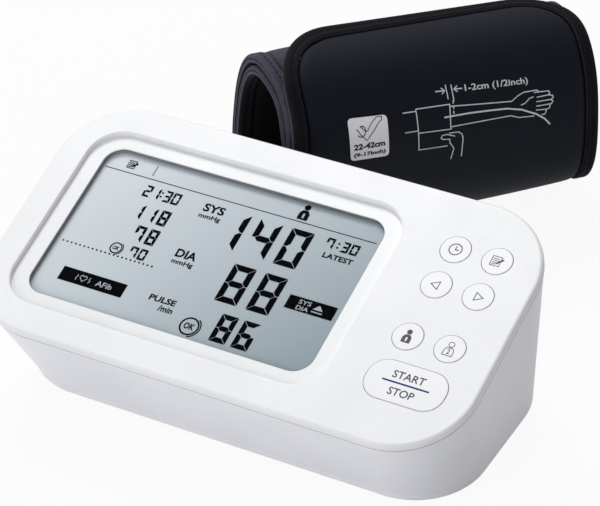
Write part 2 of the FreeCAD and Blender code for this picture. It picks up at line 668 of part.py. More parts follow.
def base_case():
    edge_depth = S.rim + S.seam
    outside = Piece("base_outside")
    outside.pad(base_outline(0), S.foot_height, S.base_upright)
    outside.round_edges(S.base_round, at_level(S.foot_height))
    taper(outside, base_outline(0), S.foot_height + S.base_upright, face_outline(S.fit_gap), edge_depth)
    inside = Piece("base_inside")
    inside.pad(base_outline(S.wall), FLOOR, S.base_upright)
    taper(inside, base_outline(S.wall), FLOOR + S.base_upright, face_outline(S.wall + S.fit_gap),
          edge_depth - S.seam)
    walls = doc.addObject("Part::Cut", "base_walls")
    walls.Base = outside.body
    walls.Tool = inside.body
    openings = [
        base_hollows(),
        cylinder("jack_hole", S.jack_size + 2 * S.fit_gap, 2 * S.jack_length, -JACK_END - S.jack_length,
                 S.jack_y, S.jack_z, X_AXIS),
        cylinder("power_hole", power_barrel() + 2 * S.fit_gap, 2 * S.power_length, S.power_x,
                 power_back() - S.touch_gap, S.power_z, Y_AXIS),
        cylinder("pin_hole", S.pin_size + 2 * S.pin_gap, S.bay_width + 2 * S.bay_wall,
                 BAY_X - S.bay_width / 2 - S.bay_wall, PIN_Y, PIN_Z, X_AXIS)]
    keep(without("base_case", fused("base_solid", [walls, base_fittings()]), openings))


def display_frame():
    frame = Piece("display_frame", tilted=True)
    reach = 2 * S.frame_overlap
    frame.pad(rounded(RECESS_WIDTH + reach, RECESS_LENGTH + reach, S.recess_corner + S.frame_overlap),
              FRAME_BOTTOM, S.frame_wall, x=DISPLAY_X)
    rib = 2 * S.fit_gap + 2 * S.lip_wall
    frame.pad(rounded(LCD_WIDTH + rib, LCD_LENGTH + rib, S.lcd_corner + S.lip_wall),
              LCD_BOTTOM, FRAME_BOTTOM - LCD_BOTTOM, x=DISPLAY_X)
    for x, y in FRAME_BOSSES:
        frame.pad(circle(S.board_boss), BOARD_TOP, FRAME_BOTTOM - BOARD_TOP, x, y)
        frame.cut(circle(S.board_screw + 2 * S.touch_gap), FRAME_BOTTOM, S.board_depth, x, y)
    room = 2 * S.fit_gap
    frame.cut(rounded(LCD_WIDTH + room, LCD_LENGTH + room, S.lcd_corner + S.fit_gap), FRAME_BOTTOM,
              FRAME_BOTTOM - LCD_BOTTOM, x=DISPLAY_X)
    rebate = 2 * S.window_rebate
    frame.cut(rounded(WINDOW_WIDTH + rebate, WINDOW_LENGTH + rebate, S.window_corner + S.window_rebate),
              LENS_TOP, LENS_TOP - FRAME_BOTTOM, x=DISPLAY_X)
    frame.cut(rounded(WINDOW_WIDTH, WINDOW_LENGTH, S.window_corner), FRAME_TOP, S.frame_wall,
              x=DISPLAY_X)
    keep(frame)


def display_lens():
    lens = Piece("display_lens", tilted=True)
    reach = 2 * S.window_rebate - 2 * S.touch_gap
    lens.pad(rounded(WINDOW_WIDTH + reach, WINDOW_LENGTH + reach, S.window_corner + S.window_rebate),
             LENS_TOP - S.touch_gap - S.lens_wall, S.lens_wall, x=DISPLAY_X)
    keep(lens)


def lcd_parts():
    panel = Piece("lcd_panel", tilted=True)
    panel.pad(rounded(LCD_WIDTH, LCD_LENGTH, S.lcd_corner), LCD_BOTTOM, S.lcd_wall, x=DISPLAY_X)
    keep(panel)
    holder = Piece("lcd_holder", tilted=True)
    height = LCD_BOTTOM - BOARD_TOP - 2 * S.touch_gap
    holder.pad(rounded(LCD_WIDTH, LCD_LENGTH, S.holder_wall), BOARD_TOP + S.touch_gap, height,
               x=DISPLAY_X)
    walls = 2 * S.holder_wall
    holder.cut(box_outline(LCD_WIDTH - walls, LCD_LENGTH - walls), LCD_BOTTOM, S.board_depth,
               x=DISPLAY_X)
    keep(holder)
    strip = Piece("lcd_connector", tilted=True)
    strip_wall = S.holder_wall + S.fit_gap
    strip.pad(box_outline(LCD_WIDTH / 2, strip_wall), BOARD_TOP + S.touch_gap, height, x=DISPLAY_X,
              y=LCD_LENGTH / 2 - S.holder_wall - strip_wall / 2 - S.fit_gap)
    keep(strip)


# the boards, switches and buttons

def main_board():
    board = Piece("main_board_panel", tilted=True)
    board.pad(rounded(BOARD_WIDTH, BOARD_LENGTH, S.board_corner), BOARD_BOTTOM, S.board_wall,
              x=BOARD_X)
    for x, y in COVER_BOSSES + FRAME_BOSSES:
        board.cut(circle(S.board_screw + 2 * S.fit_gap), BOARD_TOP, S.board_wall, x, y)
    notches = case_columns("board_notch", S.boss_size + 4 * S.fit_gap, S.post_height, 2 * S.face_height)
    keep(without("main_board", board.body, notches))


def board_screws():
    members = []
    for x, y in COVER_BOSSES + FRAME_BOSSES:
        shank = cylinder("board_shank", S.board_screw, S.board_depth / 2, x, y,
                         BOARD_BOTTOM - S.touch_gap)
        head = cylinder("board_head", 2 * S.board_screw, S.board_screw / 2, x, y,
                        BOARD_BOTTOM - S.touch_gap - S.board_screw / 2)
        members.append(fused("board_screw", [shank, head]))
    screws = group("board_screws", members)
    on_face(screws)
    keep(screws)


def tact_switches():
    members = []
    places = [(x, y) for _, x, y in BUTTONS] + [(START_X, S.start_y)]
    for x, y in places:
        case = block("switch_case", S.switch_side, S.switch_side, S.switch_height, x, y, BOARD_TOP)
        plunger = cylinder("switch_plunger", S.switch_side / 2, S.switch_plunger, x, y, SWITCH_TOP)
        members.append(fused("tact_switch", [case, plunger]))
    switches = group("tact_switches", members)
    on_face(switches)
    keep(switches)


def keypad_mat():
    mat = Piece("keypad_mat", tilted=True)
    width = S.column_pitch + S.button_size + 2 * S.button_flange
    length = S.row_top - S.start_y + S.start_length
    middle = (S.row_top + S.start_y) / 2
    bottom = SWITCH_TOP + S.touch_gap
    mat.pad(rounded(width, length, S.mat_corner), bottom, S.mat_wall, START_X, middle)
    mat.cut(circle(S.board_boss + 2 * S.fit_gap), bottom + S.mat_wall, S.mat_wall, BOSS_RIGHT_X,
            S.boss_right_y)
    places = [(x, y) for _, x, y in BUTTONS] + [(START_X, S.start_y)]
    for x, y in places:
        mat.pad(circle(S.stem_size + 4 * S.mat_wall), bottom, S.mat_wall + S.mat_collar, x, y)
    for x, y in places:
        mat.cut(circle(S.stem_size + S.mat_wall), bottom + S.mat_wall + S.mat_collar,
                S.mat_wall + S.mat_collar, x, y)
    keep(mat)


def button(label, cap, flange, x, y):
    """A key cap with the flange that keeps it in and the stem that presses its switch."""
    flange_top = -(S.skin + S.touch_gap)
    flange_bottom = flange_top - S.flange_wall
    key = Piece(label, tilted=True)
    key.pad(cap, flange_top, S.button_proud - flange_top, x, y)
    key.round_edges(S.button_proud, at_level(S.button_proud))
    key.pad(flange, flange_bottom, S.flange_wall, x, y)
    key.pad(circle(S.stem_size), STEM_END, flange_bottom - STEM_END, x, y)
    keep(key)


def buttons():
    cap = circle(S.button_size)
    flange = circle(S.button_size + 2 * S.button_flange)
    for label, x, y in BUTTONS:
        button(label, cap, flange, x, y)
    reach = 2 * S.button_flange
    button("start_stop_button", rounded(S.start_width, S.start_length, S.start_corner),
           rounded(S.start_width + reach, S.start_length + reach, S.start_corner + S.button_flange),
           START_X, S.start_y)


def board_components():
    """Chips and capacitors under the board: x, y, width, length and height of each, on the chip grid."""
    places = [(-6.0, 2.0, 1.4, 1.4, 0.14), (-6.0, -1.2, 0.8, 1.0, 0.18), (-3.5, 0.4, 0.5, 0.7, 0.2),
              (-2.0, 3.0, 0.9, 0.9, 0.4), (2.2, 2.8, 0.6, 0.6, 0.5), (3.0, -2.8, 1.0, 0.6, 0.24),
              (6.6, 2.0, 0.5, 1.2, 0.3), (-2.0, -3.0, 1.2, 0.5, 0.2)]
    members = []
    for place in places:
        x, y, width, length, height = [number * S.chip_side for number in place]
        members.append(block("component", width, length, height, BOARD_X + x, y, BOARD_BOTTOM - height))
    components = group("board_components", members)
    on_face(components)
    keep(components)


# power

def batteries():
    members = []
    nub = S.cell_nub_height
    for number in range(4):
        x = BAY_X + (number - 1.5) * S.cell_pitch
        z = PIN_Z + S.cell_size / 2
        front = BAY_Y - S.cell_length / 2
        offset = nub * (number % 2)
        case = cylinder("cell_case", S.cell_size, S.cell_length - nub, x, front + offset, z, Y_AXIS)
        tip = cylinder("cell_tip", S.cell_nub, S.cell_length, x, front, z, Y_AXIS)
        members.append(fused("cell", [case, tip]))
    keep(group("batteries", members))


def battery_contacts():
    members = []
    plate = S.contact_wall
    room = (S.bay_length - S.cell_length) / 2
    z = PIN_Z + S.cell_size / 2
    for side in (-1, 1):
        wall_y = BAY_Y + side * (S.bay_length / 2 - plate / 2 - S.touch_gap)
        spring_y = BAY_Y + side * (S.cell_length / 2 + room / 2)
        strip = block("contact_plate", 3 * S.cell_pitch + S.cell_size, plate, S.contact_height, BAY_X,
                      wall_y, z - S.contact_height / 2)
        springs = [cylinder("contact_spring", S.cell_nub, room - 4 * S.touch_gap,
                            BAY_X + (number - 1.5) * S.cell_pitch,
                            spring_y - room / 2 + 2 * S.touch_gap, z, Y_AXIS) for number in range(4)]
        members.append(fused("contact", [strip] + springs))
    keep(group("battery_contacts", members))


def battery_cover():
    """The door turns about a pin along its back edge, which sits in the bay's side walls."""
    door = Piece("battery_cover_panel")
    front = BAY_Y - S.bay_length / 2 + S.door_gap
    length = PIN_Y - front
    door.pad(box_outline(S.bay_width - 2 * S.door_gap, length), S.foot_height, S.door_wall, BAY_X,
             front + length / 2)
    door.cut(rounded(S.cell_size, S.cell_size / 3, S.door_wall), S.foot_height + S.door_wall / 3,
             S.door_wall, BAY_X, front + S.cell_size / 2)
    ends = S.bay_wall - S.door_gap
    pin = cylinder("door_pin", S.pin_size, S.bay_width + 2 * ends, BAY_X - S.bay_width / 2 - ends,
                   PIN_Y, PIN_Z, X_AXIS)
    cover = fused("battery_cover", [door.body, pin])
    cover.Label = "battery_cover"
    keep(cover)


def power_barrel():
    return S.power_width


def power_back():
    """Y of the back of the DC jack's body, just inside the rear wall."""
    drop = S.power_z / S.face_height
    lean = (FACE_BACK - S.base_length / 2) * drop
    return S.base_length / 2 + lean - S.wall - S.fit_gap * 2


def dc_jack():
    back = power_back()
    body = block("power_body", S.power_width, S.power_length, S.power_height, S.power_x,
                 back - S.power_length / 2, S.power_z - S.power_height / 2)
    barrel = cylinder("power_barrel", power_barrel(), S.wall, S.power_x, back, S.power_z, Y_AXIS)
    mouth = back + S.wall
    socket = cylinder("power_socket", S.power_bore, S.power_depth, S.power_x,
                      mouth - S.power_depth, S.power_z, Y_AXIS)
    case = doc.addObject("Part::Cut", "power_case")
    case.Base = fused("power_solid", [body, barrel])
    case.Tool = socket
    pin = cylinder("power_pin", S.power_pin, S.power_depth, S.power_x,
                   mouth - S.power_depth - S.power_pin / 2, S.power_z, Y_AXIS)
    jack = fused("dc_jack", [case, pin])
    jack.Label = "dc_jack"
    keep(jack)


def rubber_feet():
    height = S.foot_height + S.foot_sink
    keep(group("rubber_feet", [cylinder("foot", S.foot_size, height, x, y, 0) for x, y in FEET]))


def case_screws():
    members = []
    for x, y in CASE_SCREWS:
        head = cylinder("screw_head", S.screw_head, S.screw_head_height, x, y,
                        SCREW_SEAT - S.screw_head_height - S.touch_gap)
        shank = cylinder("screw_shank", S.screw_size, S.screw_length, x, y, SCREW_SEAT - S.touch_gap)
        members.append(fused("case_screw", [head, shank]))
    keep(group("case_screws", members))


# the air parts

def nipple(x, y, z, direction):
    return cylinder("nipple", S.nipple_size, S.nipple_length, x, y, z, direction)


def air_jack():
    inner_end = -JACK_END + S.jack_length
    wall_inside = -(BASE_WIDTH / 2 - S.wall - S.fit_gap)
    barrel = cylinder("jack_barrel", S.jack_size, S.jack_length, -JACK_END, S.jack_y, S.jack_z, X_AXIS)
    flange = cylinder("jack_flange", S.jack_flange, S.wall, wall_inside + S.fit_gap, S.jack_y,
                      S.jack_z, X_AXIS)
    body = fused("jack_body", [barrel, flange, nipple(inner_end, S.jack_y, S.jack_z, X_AXIS)])
    socket = cylinder("jack_socket", S.jack_bore, S.jack_depth, -JACK_END, S.jack_y, S.jack_z, X_AXIS)
    way = cylinder("jack_way", S.nipple_bore, S.jack_length + S.nipple_length, -JACK_END, S.jack_y,
                   S.jack_z, X_AXIS)
    keep(without("air_jack", body, [socket, way]))


def air_manifold():
    half = S.manifold_side / 2
    side = S.manifold_side
    base = FLOOR + S.touch_gap
    box = block("manifold_block", side, side, S.manifold_top - base, MANIFOLD_X, S.jack_y, base)
    ports = [nipple(MANIFOLD_X - half, S.jack_y, S.jack_z, -X_AXIS),
             nipple(MANIFOLD_X + half, PUMP_Y, PUMP_Z, X_AXIS),
             nipple(MANIFOLD_X, S.jack_y - half, VALVE_Z, -Y_AXIS),
             nipple(MANIFOLD_X, S.jack_y, S.manifold_top, Z_AXIS)]
    body = fused("air_manifold", [box] + ports)
    body.Label = "air_manifold"
    keep(body)


BEND_SHARE = 0.45


def tube_solid(points):
    """A silicone tube along straight runs that are joined by tangent arcs."""
    edges = []
    start = points[0]
    for before, corner, after in zip(points, points[1:], points[2:]):
        run_in, run_out = (corner - before), (after - corner)
        turn = run_in.getAngle(run_out)
        reach = BEND_SHARE * min(run_in.Length, run_out.Length)
        entry = corner - Vector(run_in).normalize() * reach
        leave = corner + Vector(run_out).normalize() * reach
        radius = reach / math.tan(turn / 2)
        inward = (entry + leave) * 0.5 - corner
        centre = corner + Vector(inward).normalize() * (radius / math.cos(turn / 2))
        middle = centre - Vector(inward).normalize() * radius
        edges.append(Part.LineSegment(start, entry).toShape())
        edges.append(Part.Arc(entry, middle, leave).toShape())
        start = leave
    edges.append(Part.LineSegment(start, points[-1]).toShape())
    path = Part.Wire(edges)
    direction = points[1] - points[0]

    def sweep(diameter):
        ring = Part.Wire(Part.makeCircle(float(diameter) / 2, points[0], direction))
        return path.makePipeShell([ring], True, False)
    return sweep(S.tube_size).cut(sweep(S.tube_bore))


def sensor_port():
    """Where the pressure sensor's nipple starts, and the way it points, in the row frame."""
    y, z = world_of_face(S.sensor_y, BOARD_BOTTOM - S.sensor_height)
    return Vector(float(MANIFOLD_X), float(y), float(z)), FACE.Rotation.multVec(-Z_AXIS)


def air_tubes():
    x = float(MANIFOLD_X)
    half = float(S.manifold_side) / 2
    gap = float(S.touch_gap)
    jack_y, jack_z = float(S.jack_y), float(S.jack_z)
    pump_y, pump_z = float(PUMP_Y), float(PUMP_Z)
    valve_y, valve_z = float(S.valve_y), float(VALVE_Z)
    top = float(S.manifold_top)
    port, out = sensor_port()
    corner = port + out * ((jack_y - port.y) / out.y)
    routes = [
        [Vector(float(S.jack_length - JACK_END) + gap, jack_y, jack_z),
         Vector(x - half - gap, jack_y, jack_z)],
        [Vector(x + half + gap, pump_y, pump_z), Vector(float(HEAD_START) - gap, pump_y, pump_z)],
        [Vector(x, jack_y - half - gap, valve_z), Vector(x, valve_y, valve_z),
         Vector(float(VALVE_X) - gap, valve_y, valve_z)],
        [Vector(x, jack_y, top + gap), corner, port + out * gap]]
    keep(solid_feature("air_tubes", Part.makeCompound([tube_solid(route) for route in routes])))


def pressure_sensor():
    box = block("sensor_box", S.sensor_side, S.sensor_side, S.sensor_height, MANIFOLD_X, S.sensor_y,
                BOARD_BOTTOM - S.sensor_height)
    port = cylinder("sensor_nipple", S.nipple_size, S.nipple_length, MANIFOLD_X, S.sensor_y,
                    BOARD_BOTTOM - S.sensor_height - S.nipple_length)
    sensor = fused("pressure_sensor", [box, port])
    sensor.Label = "pressure_sensor"
    on_face(sensor)
    keep(sensor)


def pump():
    bore = S.shaft_size + 2 * S.shaft_gap
    case = cylinder("motor_case", S.motor_size, S.motor_length, MOTOR_START, PUMP_Y, PUMP_Z, X_AXIS)
    tail = cylinder("motor_tail", S.motor_size / 3, S.head_wall, MOTOR_START + S.motor_length, PUMP_Y,
                    PUMP_Z, X_AXIS)
    hole = cylinder("motor_bore", bore, S.motor_length, MOTOR_START, PUMP_Y, PUMP_Z, X_AXIS)
    keep(without("pump_motor", fused("motor_body", [case, tail]), [hole]))

    side = S.head_size
    outer = block("head_block", S.head_length - S.touch_gap, side, side,
                  HEAD_START + (S.head_length - S.touch_gap) / 2, PUMP_Y, PUMP_Z - side / 2)
    inner_side = side - 2 * S.head_wall
    chamber_length = S.head_length - S.head_wall
    chamber = block("head_chamber", chamber_length, inner_side, inner_side,
                    HEAD_START + S.head_wall + chamber_length / 2, PUMP_Y, PUMP_Z - inner_side / 2)
    head = fused("head_body", [outer, nipple(HEAD_START, PUMP_Y, PUMP_Z, -X_AXIS)])
    keep(without("pump_head", head, [chamber]))

    cam_x = MOTOR_START - S.cam_clear - S.cam_wall
    shaft = cylinder("shaft_rod", S.shaft_size, S.shaft_length, cam_x - S.shaft_end, PUMP_Y, PUMP_Z,
                     X_AXIS)
    cam = cylinder("shaft_cam", S.cam_size, S.cam_wall, cam_x, PUMP_Y, PUMP_Z + S.cam_offset, X_AXIS)
    spindle = fused("pump_shaft", [shaft, cam])
    spindle.Label = "pump_shaft"
    keep(spindle)

    width = S.motor_size + 2 * S.cradle_wall
    middle = MOTOR_START + S.motor_length / 2
    saddle = block("cradle_block", S.cradle_length, width, PUMP_Z - FLOOR - S.touch_gap, middle,
                   PUMP_Y, FLOOR + S.touch_gap)
    seat = cylinder("cradle_seat", S.motor_size + 2 * S.touch_gap, S.motor_length, MOTOR_START,
                    PUMP_Y, PUMP_Z, X_AXIS)
    keep(without("pump_cradle", saddle, [seat]))


def exhaust_valve():
    body = cylinder("valve_body", S.valve_size, S.valve_length, VALVE_X, S.valve_y, VALVE_Z, X_AXIS)
    end = VALVE_X + S.valve_length
    sleeve = S.valve_length / 2
    bore = cylinder("valve_bore", S.plunger_size + 2 * S.shaft_gap, sleeve, end - sleeve, S.valve_y,
                    VALVE_Z, X_AXIS)
    case = fused("valve_solid", [body, nipple(VALVE_X, S.valve_y, VALVE_Z, -X_AXIS)])
    keep(without("exhaust_valve", case, [bore]))
    plunger = cylinder("valve_plunger", S.plunger_size, sleeve, end - sleeve + 2 * S.plunger_travel,
                       S.valve_y, VALVE_Z, X_AXIS)
    plunger.Label = "valve_plunger"
    keep(plunger)


# the rolled cuff: one band wound round an oval that tapers from its left end to its right end

CUFF_WALL = (2 * S.cover_wall + S.bladder_wall + S.former_wall + 3 * S.layer_gap).number
TURN = 2 * math.pi
TOP = math.radians(float(S.flap_angle))
INNER_END = TOP + float(S.roll_turns) * TURN
YAW = math.radians(float(S.cuff_yaw))
ALONG = Vector(math.cos(YAW), math.sin(YAW), 0)
FRONT = Vector(math.sin(YAW), -math.cos(YAW), 0)
LIFT_ANGLE = 1.0
POINTS_PER_TURN = 28
SLIT = 0.002


def oval(part):
    """One coordinate of the squarish oval, for the sine or cosine of its angle."""
    return math.copysign(abs(part) ** (2 / float(S.roll_square)), part)


def end_point(angle, depth, across, tall, lean, lift):
    """How far forwards and how high a point lies at one end of the roll: its angle from the top
    over the front and its depth under the outer face; the end's size, lean and free end's lift."""
    pitch = CUFF_WALL + float(S.turn_gap)
    raised = lift * max(0.0, 1 - (angle - TOP) / LIFT_ANGLE) ** 2
    inset = pitch * (angle - TOP) / TURN + depth - raised
    up = (tall / 2 - inset) * oval(math.cos(angle))
    forwards = (across / 2 - inset) * oval(math.sin(angle)) + lean * up
    centre = tall / 2 - pitch * (math.pi - TOP) / TURN + float(S.roll_stand)
    return forwards, centre + up


def roll_point(angle, along, depth):
    """A point of the band: its angle, its place along the axis and its depth."""
    left = end_point(angle, depth, float(S.left_depth), float(S.left_height),
                     float(S.roll_lean), float(S.flap_lift))
    right = end_point(angle, depth, float(S.right_depth), float(S.right_height), 0.0, 0.0)
    share = along / float(S.cuff_width)
    forwards, height = [one + (other - one) * share for one, other in zip(left, right)]
    reach = along - float(S.telescope) * (angle - TOP) / TURN
    foot = Vector(float(S.cuff_x), float(CUFF_Y), height)
    return foot + ALONG * reach + FRONT * forwards


def outward(angle, along):
    """The way the band's outer face looks at a point."""
    round_the_roll = roll_point(angle + SLIT, along, 0) - roll_point(angle - SLIT, along, 0)
    along_the_roll = roll_point(angle, along + 1, 0) - roll_point(angle, along - 1, 0)
    return round_the_roll.cross(along_the_roll).normalize()


def band(start, end, left, right, upper, lower):
    """The solid part of the band between two angles, two places along the axis and two depths."""
    step = TURN / POINTS_PER_TURN
    first = math.ceil((start + step / 3) / step)
    last = math.floor((end - step / 3) / step)
    angles = [start] + [number * step for number in range(first, last + 1)] + [end]
    middle = [roll_point(angle, float(S.cuff_width) / 2, CUFF_WALL / 2) for angle in angles]
    marks = [0.0]
    for one, other in zip(middle, middle[1:]):
        marks.append(marks[-1] + one.distanceToPoint(other))

    def curve(along, depth):
        line = Part.BSplineCurve()
        points = [roll_point(angle, along, depth) for angle in angles]
        line.interpolate(Points=points, Parameters=marks)
        return line.toShape()

    outer_left, outer_right = curve(left, upper), curve(right, upper)
    inner_left, inner_right = curve(left, lower), curve(right, lower)
    faces = [Part.makeRuledSurface(*pair) for pair in (
        (outer_left, outer_right), (inner_left, inner_right),
        (outer_left, inner_left), (outer_right, inner_right))]
    for angle in (start, end):
        corners = [roll_point(angle, left, upper), roll_point(angle, right, upper),
                   roll_point(angle, right, lower), roll_point(angle, left, lower)]
        rungs = [Part.LineSegment(corners[0], corners[1]).toShape(),
                 Part.LineSegment(corners[3], corners[2]).toShape()]
        faces.append(Part.makeRuledSurface(*rungs))
    shell = Part.Shell(faces)
    shell.sewShape()
    solid = Part.Solid(shell)
    if solid.Volume < 0:
        solid.reverse()
    return solid


def angle_of(length, turns):
    """The angle that a length of the band takes, that many turns in."""
    inset = (CUFF_WALL + float(S.turn_gap)) * turns
    radius = (float(S.left_depth) + float(S.left_height)) / 4 - inset
    return length / radius


def cuff():
    width = float(S.cuff_width)
    edge = float(S.binding_width)
    gap = float(S.layer_gap)
    proud = float(S.binding_proud)
    cover = float(S.cover_wall)
    start = TOP + angle_of(edge, 0)
    end = INNER_END - angle_of(edge, float(S.roll_turns))
    left, right = edge + gap, width - edge - gap

    keep(solid_feature("cuff_outer_cover", band(start + SLIT, end - SLIT, left, right, 0, cover)))
    keep(solid_feature("cuff_inner_cover", band(
        start + SLIT, end - SLIT, left, right, CUFF_WALL - cover, CUFF_WALL)))
    strips = [band(TOP, INNER_END, 0, edge, -proud, CUFF_WALL + proud),
              band(TOP, INNER_END, width - edge, width, -proud, CUFF_WALL + proud),
              band(TOP, start, edge, width - edge, -proud, CUFF_WALL + proud),
              band(end, INNER_END, edge, width - edge, -proud, CUFF_WALL + proud)]
    keep(solid_feature("cuff_binding", Part.makeCompound(strips)))
    former_top = cover + gap
    bladder_top = former_top + float(S.former_wall) + gap
    room = angle_of(float(S.lining_gap), 1)
    former_start = TOP + float(S.bladder_turn) * TURN
    former_end = INNER_END - (start - TOP) - room
    keep(solid_feature("cuff_former", band(
        former_start, former_end, 2 * edge, width - 2 * edge, former_top, bladder_top - gap)))
    keep(solid_feature("cuff_bladder", band(
        former_start + room, former_end - room, 2 * edge, width - 2 * edge, bladder_top,
        bladder_top + float(S.bladder_wall))))
    lining_top = (CUFF_WALL - float(S.lining_wall)) / 2
    keep(solid_feature("cuff_interlining", band(
        start + room, former_start - room, 2 * edge, width - 2 * edge, lining_top,
        lining_top + float(S.lining_wall))))
    hook_top = CUFF_WALL + gap
    hook_start = start + angle_of(float(S.hook_start), 0)
    hook_edge = float(S.hook_inset)
    keep(solid_feature("hook_patch", band(
        hook_start, hook_start + angle_of(float(S.hook_length), 0), hook_edge, width - hook_edge,
        hook_top, hook_top + float(S.hook_wall))))
    label_start = math.radians(float(S.label_angle))
    label_left = float(S.label_inset)
    keep(solid_feature("cuff_label", band(
        label_start, label_start + angle_of(float(S.label_length), 0), label_left,
        label_left + float(S.label_width), -gap - float(S.label_wall), -gap)))


def cuff_port():
    """The hose port stands on the outer cover at the back of the roll."""
    angle = math.radians(float(S.port_angle))
    along = float(S.cuff_width) - float(S.port_inset)
    seat = roll_point(angle, along, -float(S.port_sink))
    out = outward(angle, along)
    base = Part.makeCylinder(float(S.port_size) / 2, float(S.skin), seat, out)
    spigot = Part.makeCylinder(float(S.port_spigot) / 2, float(S.port_length + S.skin), seat, out)
    way = Part.makeCylinder(float(S.nipple_bore), float(S.port_length + S.skin), seat, out)
    keep(solid_feature("cuff_air_port", base.fuse(spigot).cut(way)))


def check_document():
    """Stop if any object failed or any sub-part isn't a sound shape."""
    broken = [item.Name for item in doc.Objects if {"Invalid", "Error"} & set(item.State)]
    if broken:
        raise RuntimeError("failed objects: " + ", ".join(broken))
    for node in NODES:
        if node.Shape.isNull() or not node.Shape.isValid() or not node.Shape.Solids:
            raise RuntimeError("bad shape: " + node.Label)


def export_parts():
    os.makedirs("parts", exist_ok=True)
    for node in NODES:
        node.Shape.exportStep(os.path.join("parts", node.Label + ".step"))
        print("%-20s solids %2d  volume %9.1f" % (node.Label, len(node.Shape.Solids), node.Shape.Volume))


for make in (top_cover, base_case, display_frame, display_lens, lcd_parts, main_board, board_screws,
             tact_switches, keypad_mat, buttons, board_components, batteries, battery_contacts,
             battery_cover, dc_jack, rubber_feet, case_screws, air_jack, air_manifold, air_tubes,
             pressure_sensor, pump, exhaust_valve, cuff, cuff_port):
    make()
doc.recompute()
check_document()
export_parts()
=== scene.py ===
import bisect
import json
import math

import bmesh
import bpy
from mathutils import Euler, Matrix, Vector


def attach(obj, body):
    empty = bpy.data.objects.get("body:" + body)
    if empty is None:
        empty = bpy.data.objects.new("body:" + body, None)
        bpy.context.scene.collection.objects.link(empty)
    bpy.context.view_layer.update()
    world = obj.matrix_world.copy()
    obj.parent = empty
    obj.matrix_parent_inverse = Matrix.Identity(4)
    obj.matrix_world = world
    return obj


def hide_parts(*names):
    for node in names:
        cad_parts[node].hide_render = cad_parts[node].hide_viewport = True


# A desktop arm blood pressure monitor and its rolled cuff. Sizes are in millimetres until a point
# is placed; placed points are in metres, in the row frame.
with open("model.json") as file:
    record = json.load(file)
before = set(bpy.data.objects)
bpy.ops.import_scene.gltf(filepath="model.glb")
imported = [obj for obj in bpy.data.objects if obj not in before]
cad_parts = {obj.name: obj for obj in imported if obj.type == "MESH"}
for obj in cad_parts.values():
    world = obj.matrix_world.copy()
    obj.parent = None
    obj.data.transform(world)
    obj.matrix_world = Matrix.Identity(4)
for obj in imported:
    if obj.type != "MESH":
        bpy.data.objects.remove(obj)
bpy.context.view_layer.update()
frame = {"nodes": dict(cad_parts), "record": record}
MM = 0.001


# ---- materials

def srgb(red, green, blue):
    """A colour as a picture shows it, 0 to 255, as linear light."""
    parts = [part / 255 for part in (red, green, blue)]
    return [part / 12.92 if part < 0.04 else ((part + 0.055) / 1.055) ** 2.4
            for part in parts] + [1]


FINISHES = {}


class Finish:
    """A node material in the making, kept in FINISHES. Its patterns run on the piece's own
    coordinates, in metres."""

    def __init__(self, name, **values):
        material = FINISHES[name] = bpy.data.materials.new(name)
        material.use_nodes = True
        self.tree = material.node_tree
        self.shader = self.tree.nodes["Principled BSDF"]
        self.where = self.node("TexCoord").outputs["Object"]
        for socket, value in values.items():
            self.shader.inputs[socket.replace("_", " ")].default_value = value

    def node(self, kind, settings=None, **inputs):
        made = self.tree.nodes.new("ShaderNode" + kind)
        for name, value in (settings or {}).items():
            setattr(made, name, value)
        for name, value in inputs.items():
            self.feed(made.inputs[name.replace("_", " ")], value)
        return made

    def feed(self, socket, value):
        if isinstance(value, bpy.types.NodeSocket):
            self.tree.links.new(value, socket)
        else:
            socket.default_value = value

    def noise(self, scale, detail=2.0, rough=0.5, stretch=None):
        where = self.where
        if stretch:
            where = self.node("Mapping", Vector=where, Scale=stretch).outputs[0]
        return self.node("TexNoise", Vector=where, Scale=scale, Detail=detail,
                         Roughness=rough).outputs[0]

    def spread(self, value, low, high, start=0.3, end=0.7):
        """Value between start and end, mapped to low and high."""
        return self.node("MapRange", Value=value, From_Min=start, From_Max=end, To_Min=low,
                         To_Max=high).outputs[0]

    def mix(self, share, first, second):
        """Two colours mixed; a tuple is a colour as a picture shows it."""
        made = self.node("Mix", {"data_type": "RGBA"})
        for socket, value in ((0, share), (6, first), (7, second)):
            self.feed(made.inputs[socket], srgb(*value) if isinstance(value, tuple) else value)
        return made.outputs[2]

    def mottle(self, pattern, colour, shade):
        """The surface's colour, from one to the other by a pattern."""
        self.colour(self.mix(self.spread(pattern, 0, 1), colour, shade))

    def maths(self, how, first, second=None, kind="Math", output=0):
        made = self.node(kind, {"operation": how})
        self.feed(made.inputs[0], first)
        if second is not None:
            self.feed(made.inputs[1], second)
        return made.outputs[output]

    def blend(self, first, share, second):
        """Two patterns added, the first with its share and the second with the rest."""
        return self.maths("ADD", self.maths("MULTIPLY", first, share),
                          self.maths("MULTIPLY", second, 1 - share))

    def along(self, axis):
        return self.node("SeparateXYZ", Vector=self.where).outputs[axis]

    def colour(self, value):
        self.feed(self.shader.inputs["Base Color"], value)

    def roughness(self, value):
        self.feed(self.shader.inputs["Roughness"], value)

    def bump(self, height, depth, strength=1.0, before=None):
        made = self.node("Bump", Strength=strength, Distance=depth, Height=height)
        if before:
            self.feed(made.inputs["Normal"], before)
        self.feed(self.shader.inputs["Normal"], made.outputs[0])
        return made.outputs[0]


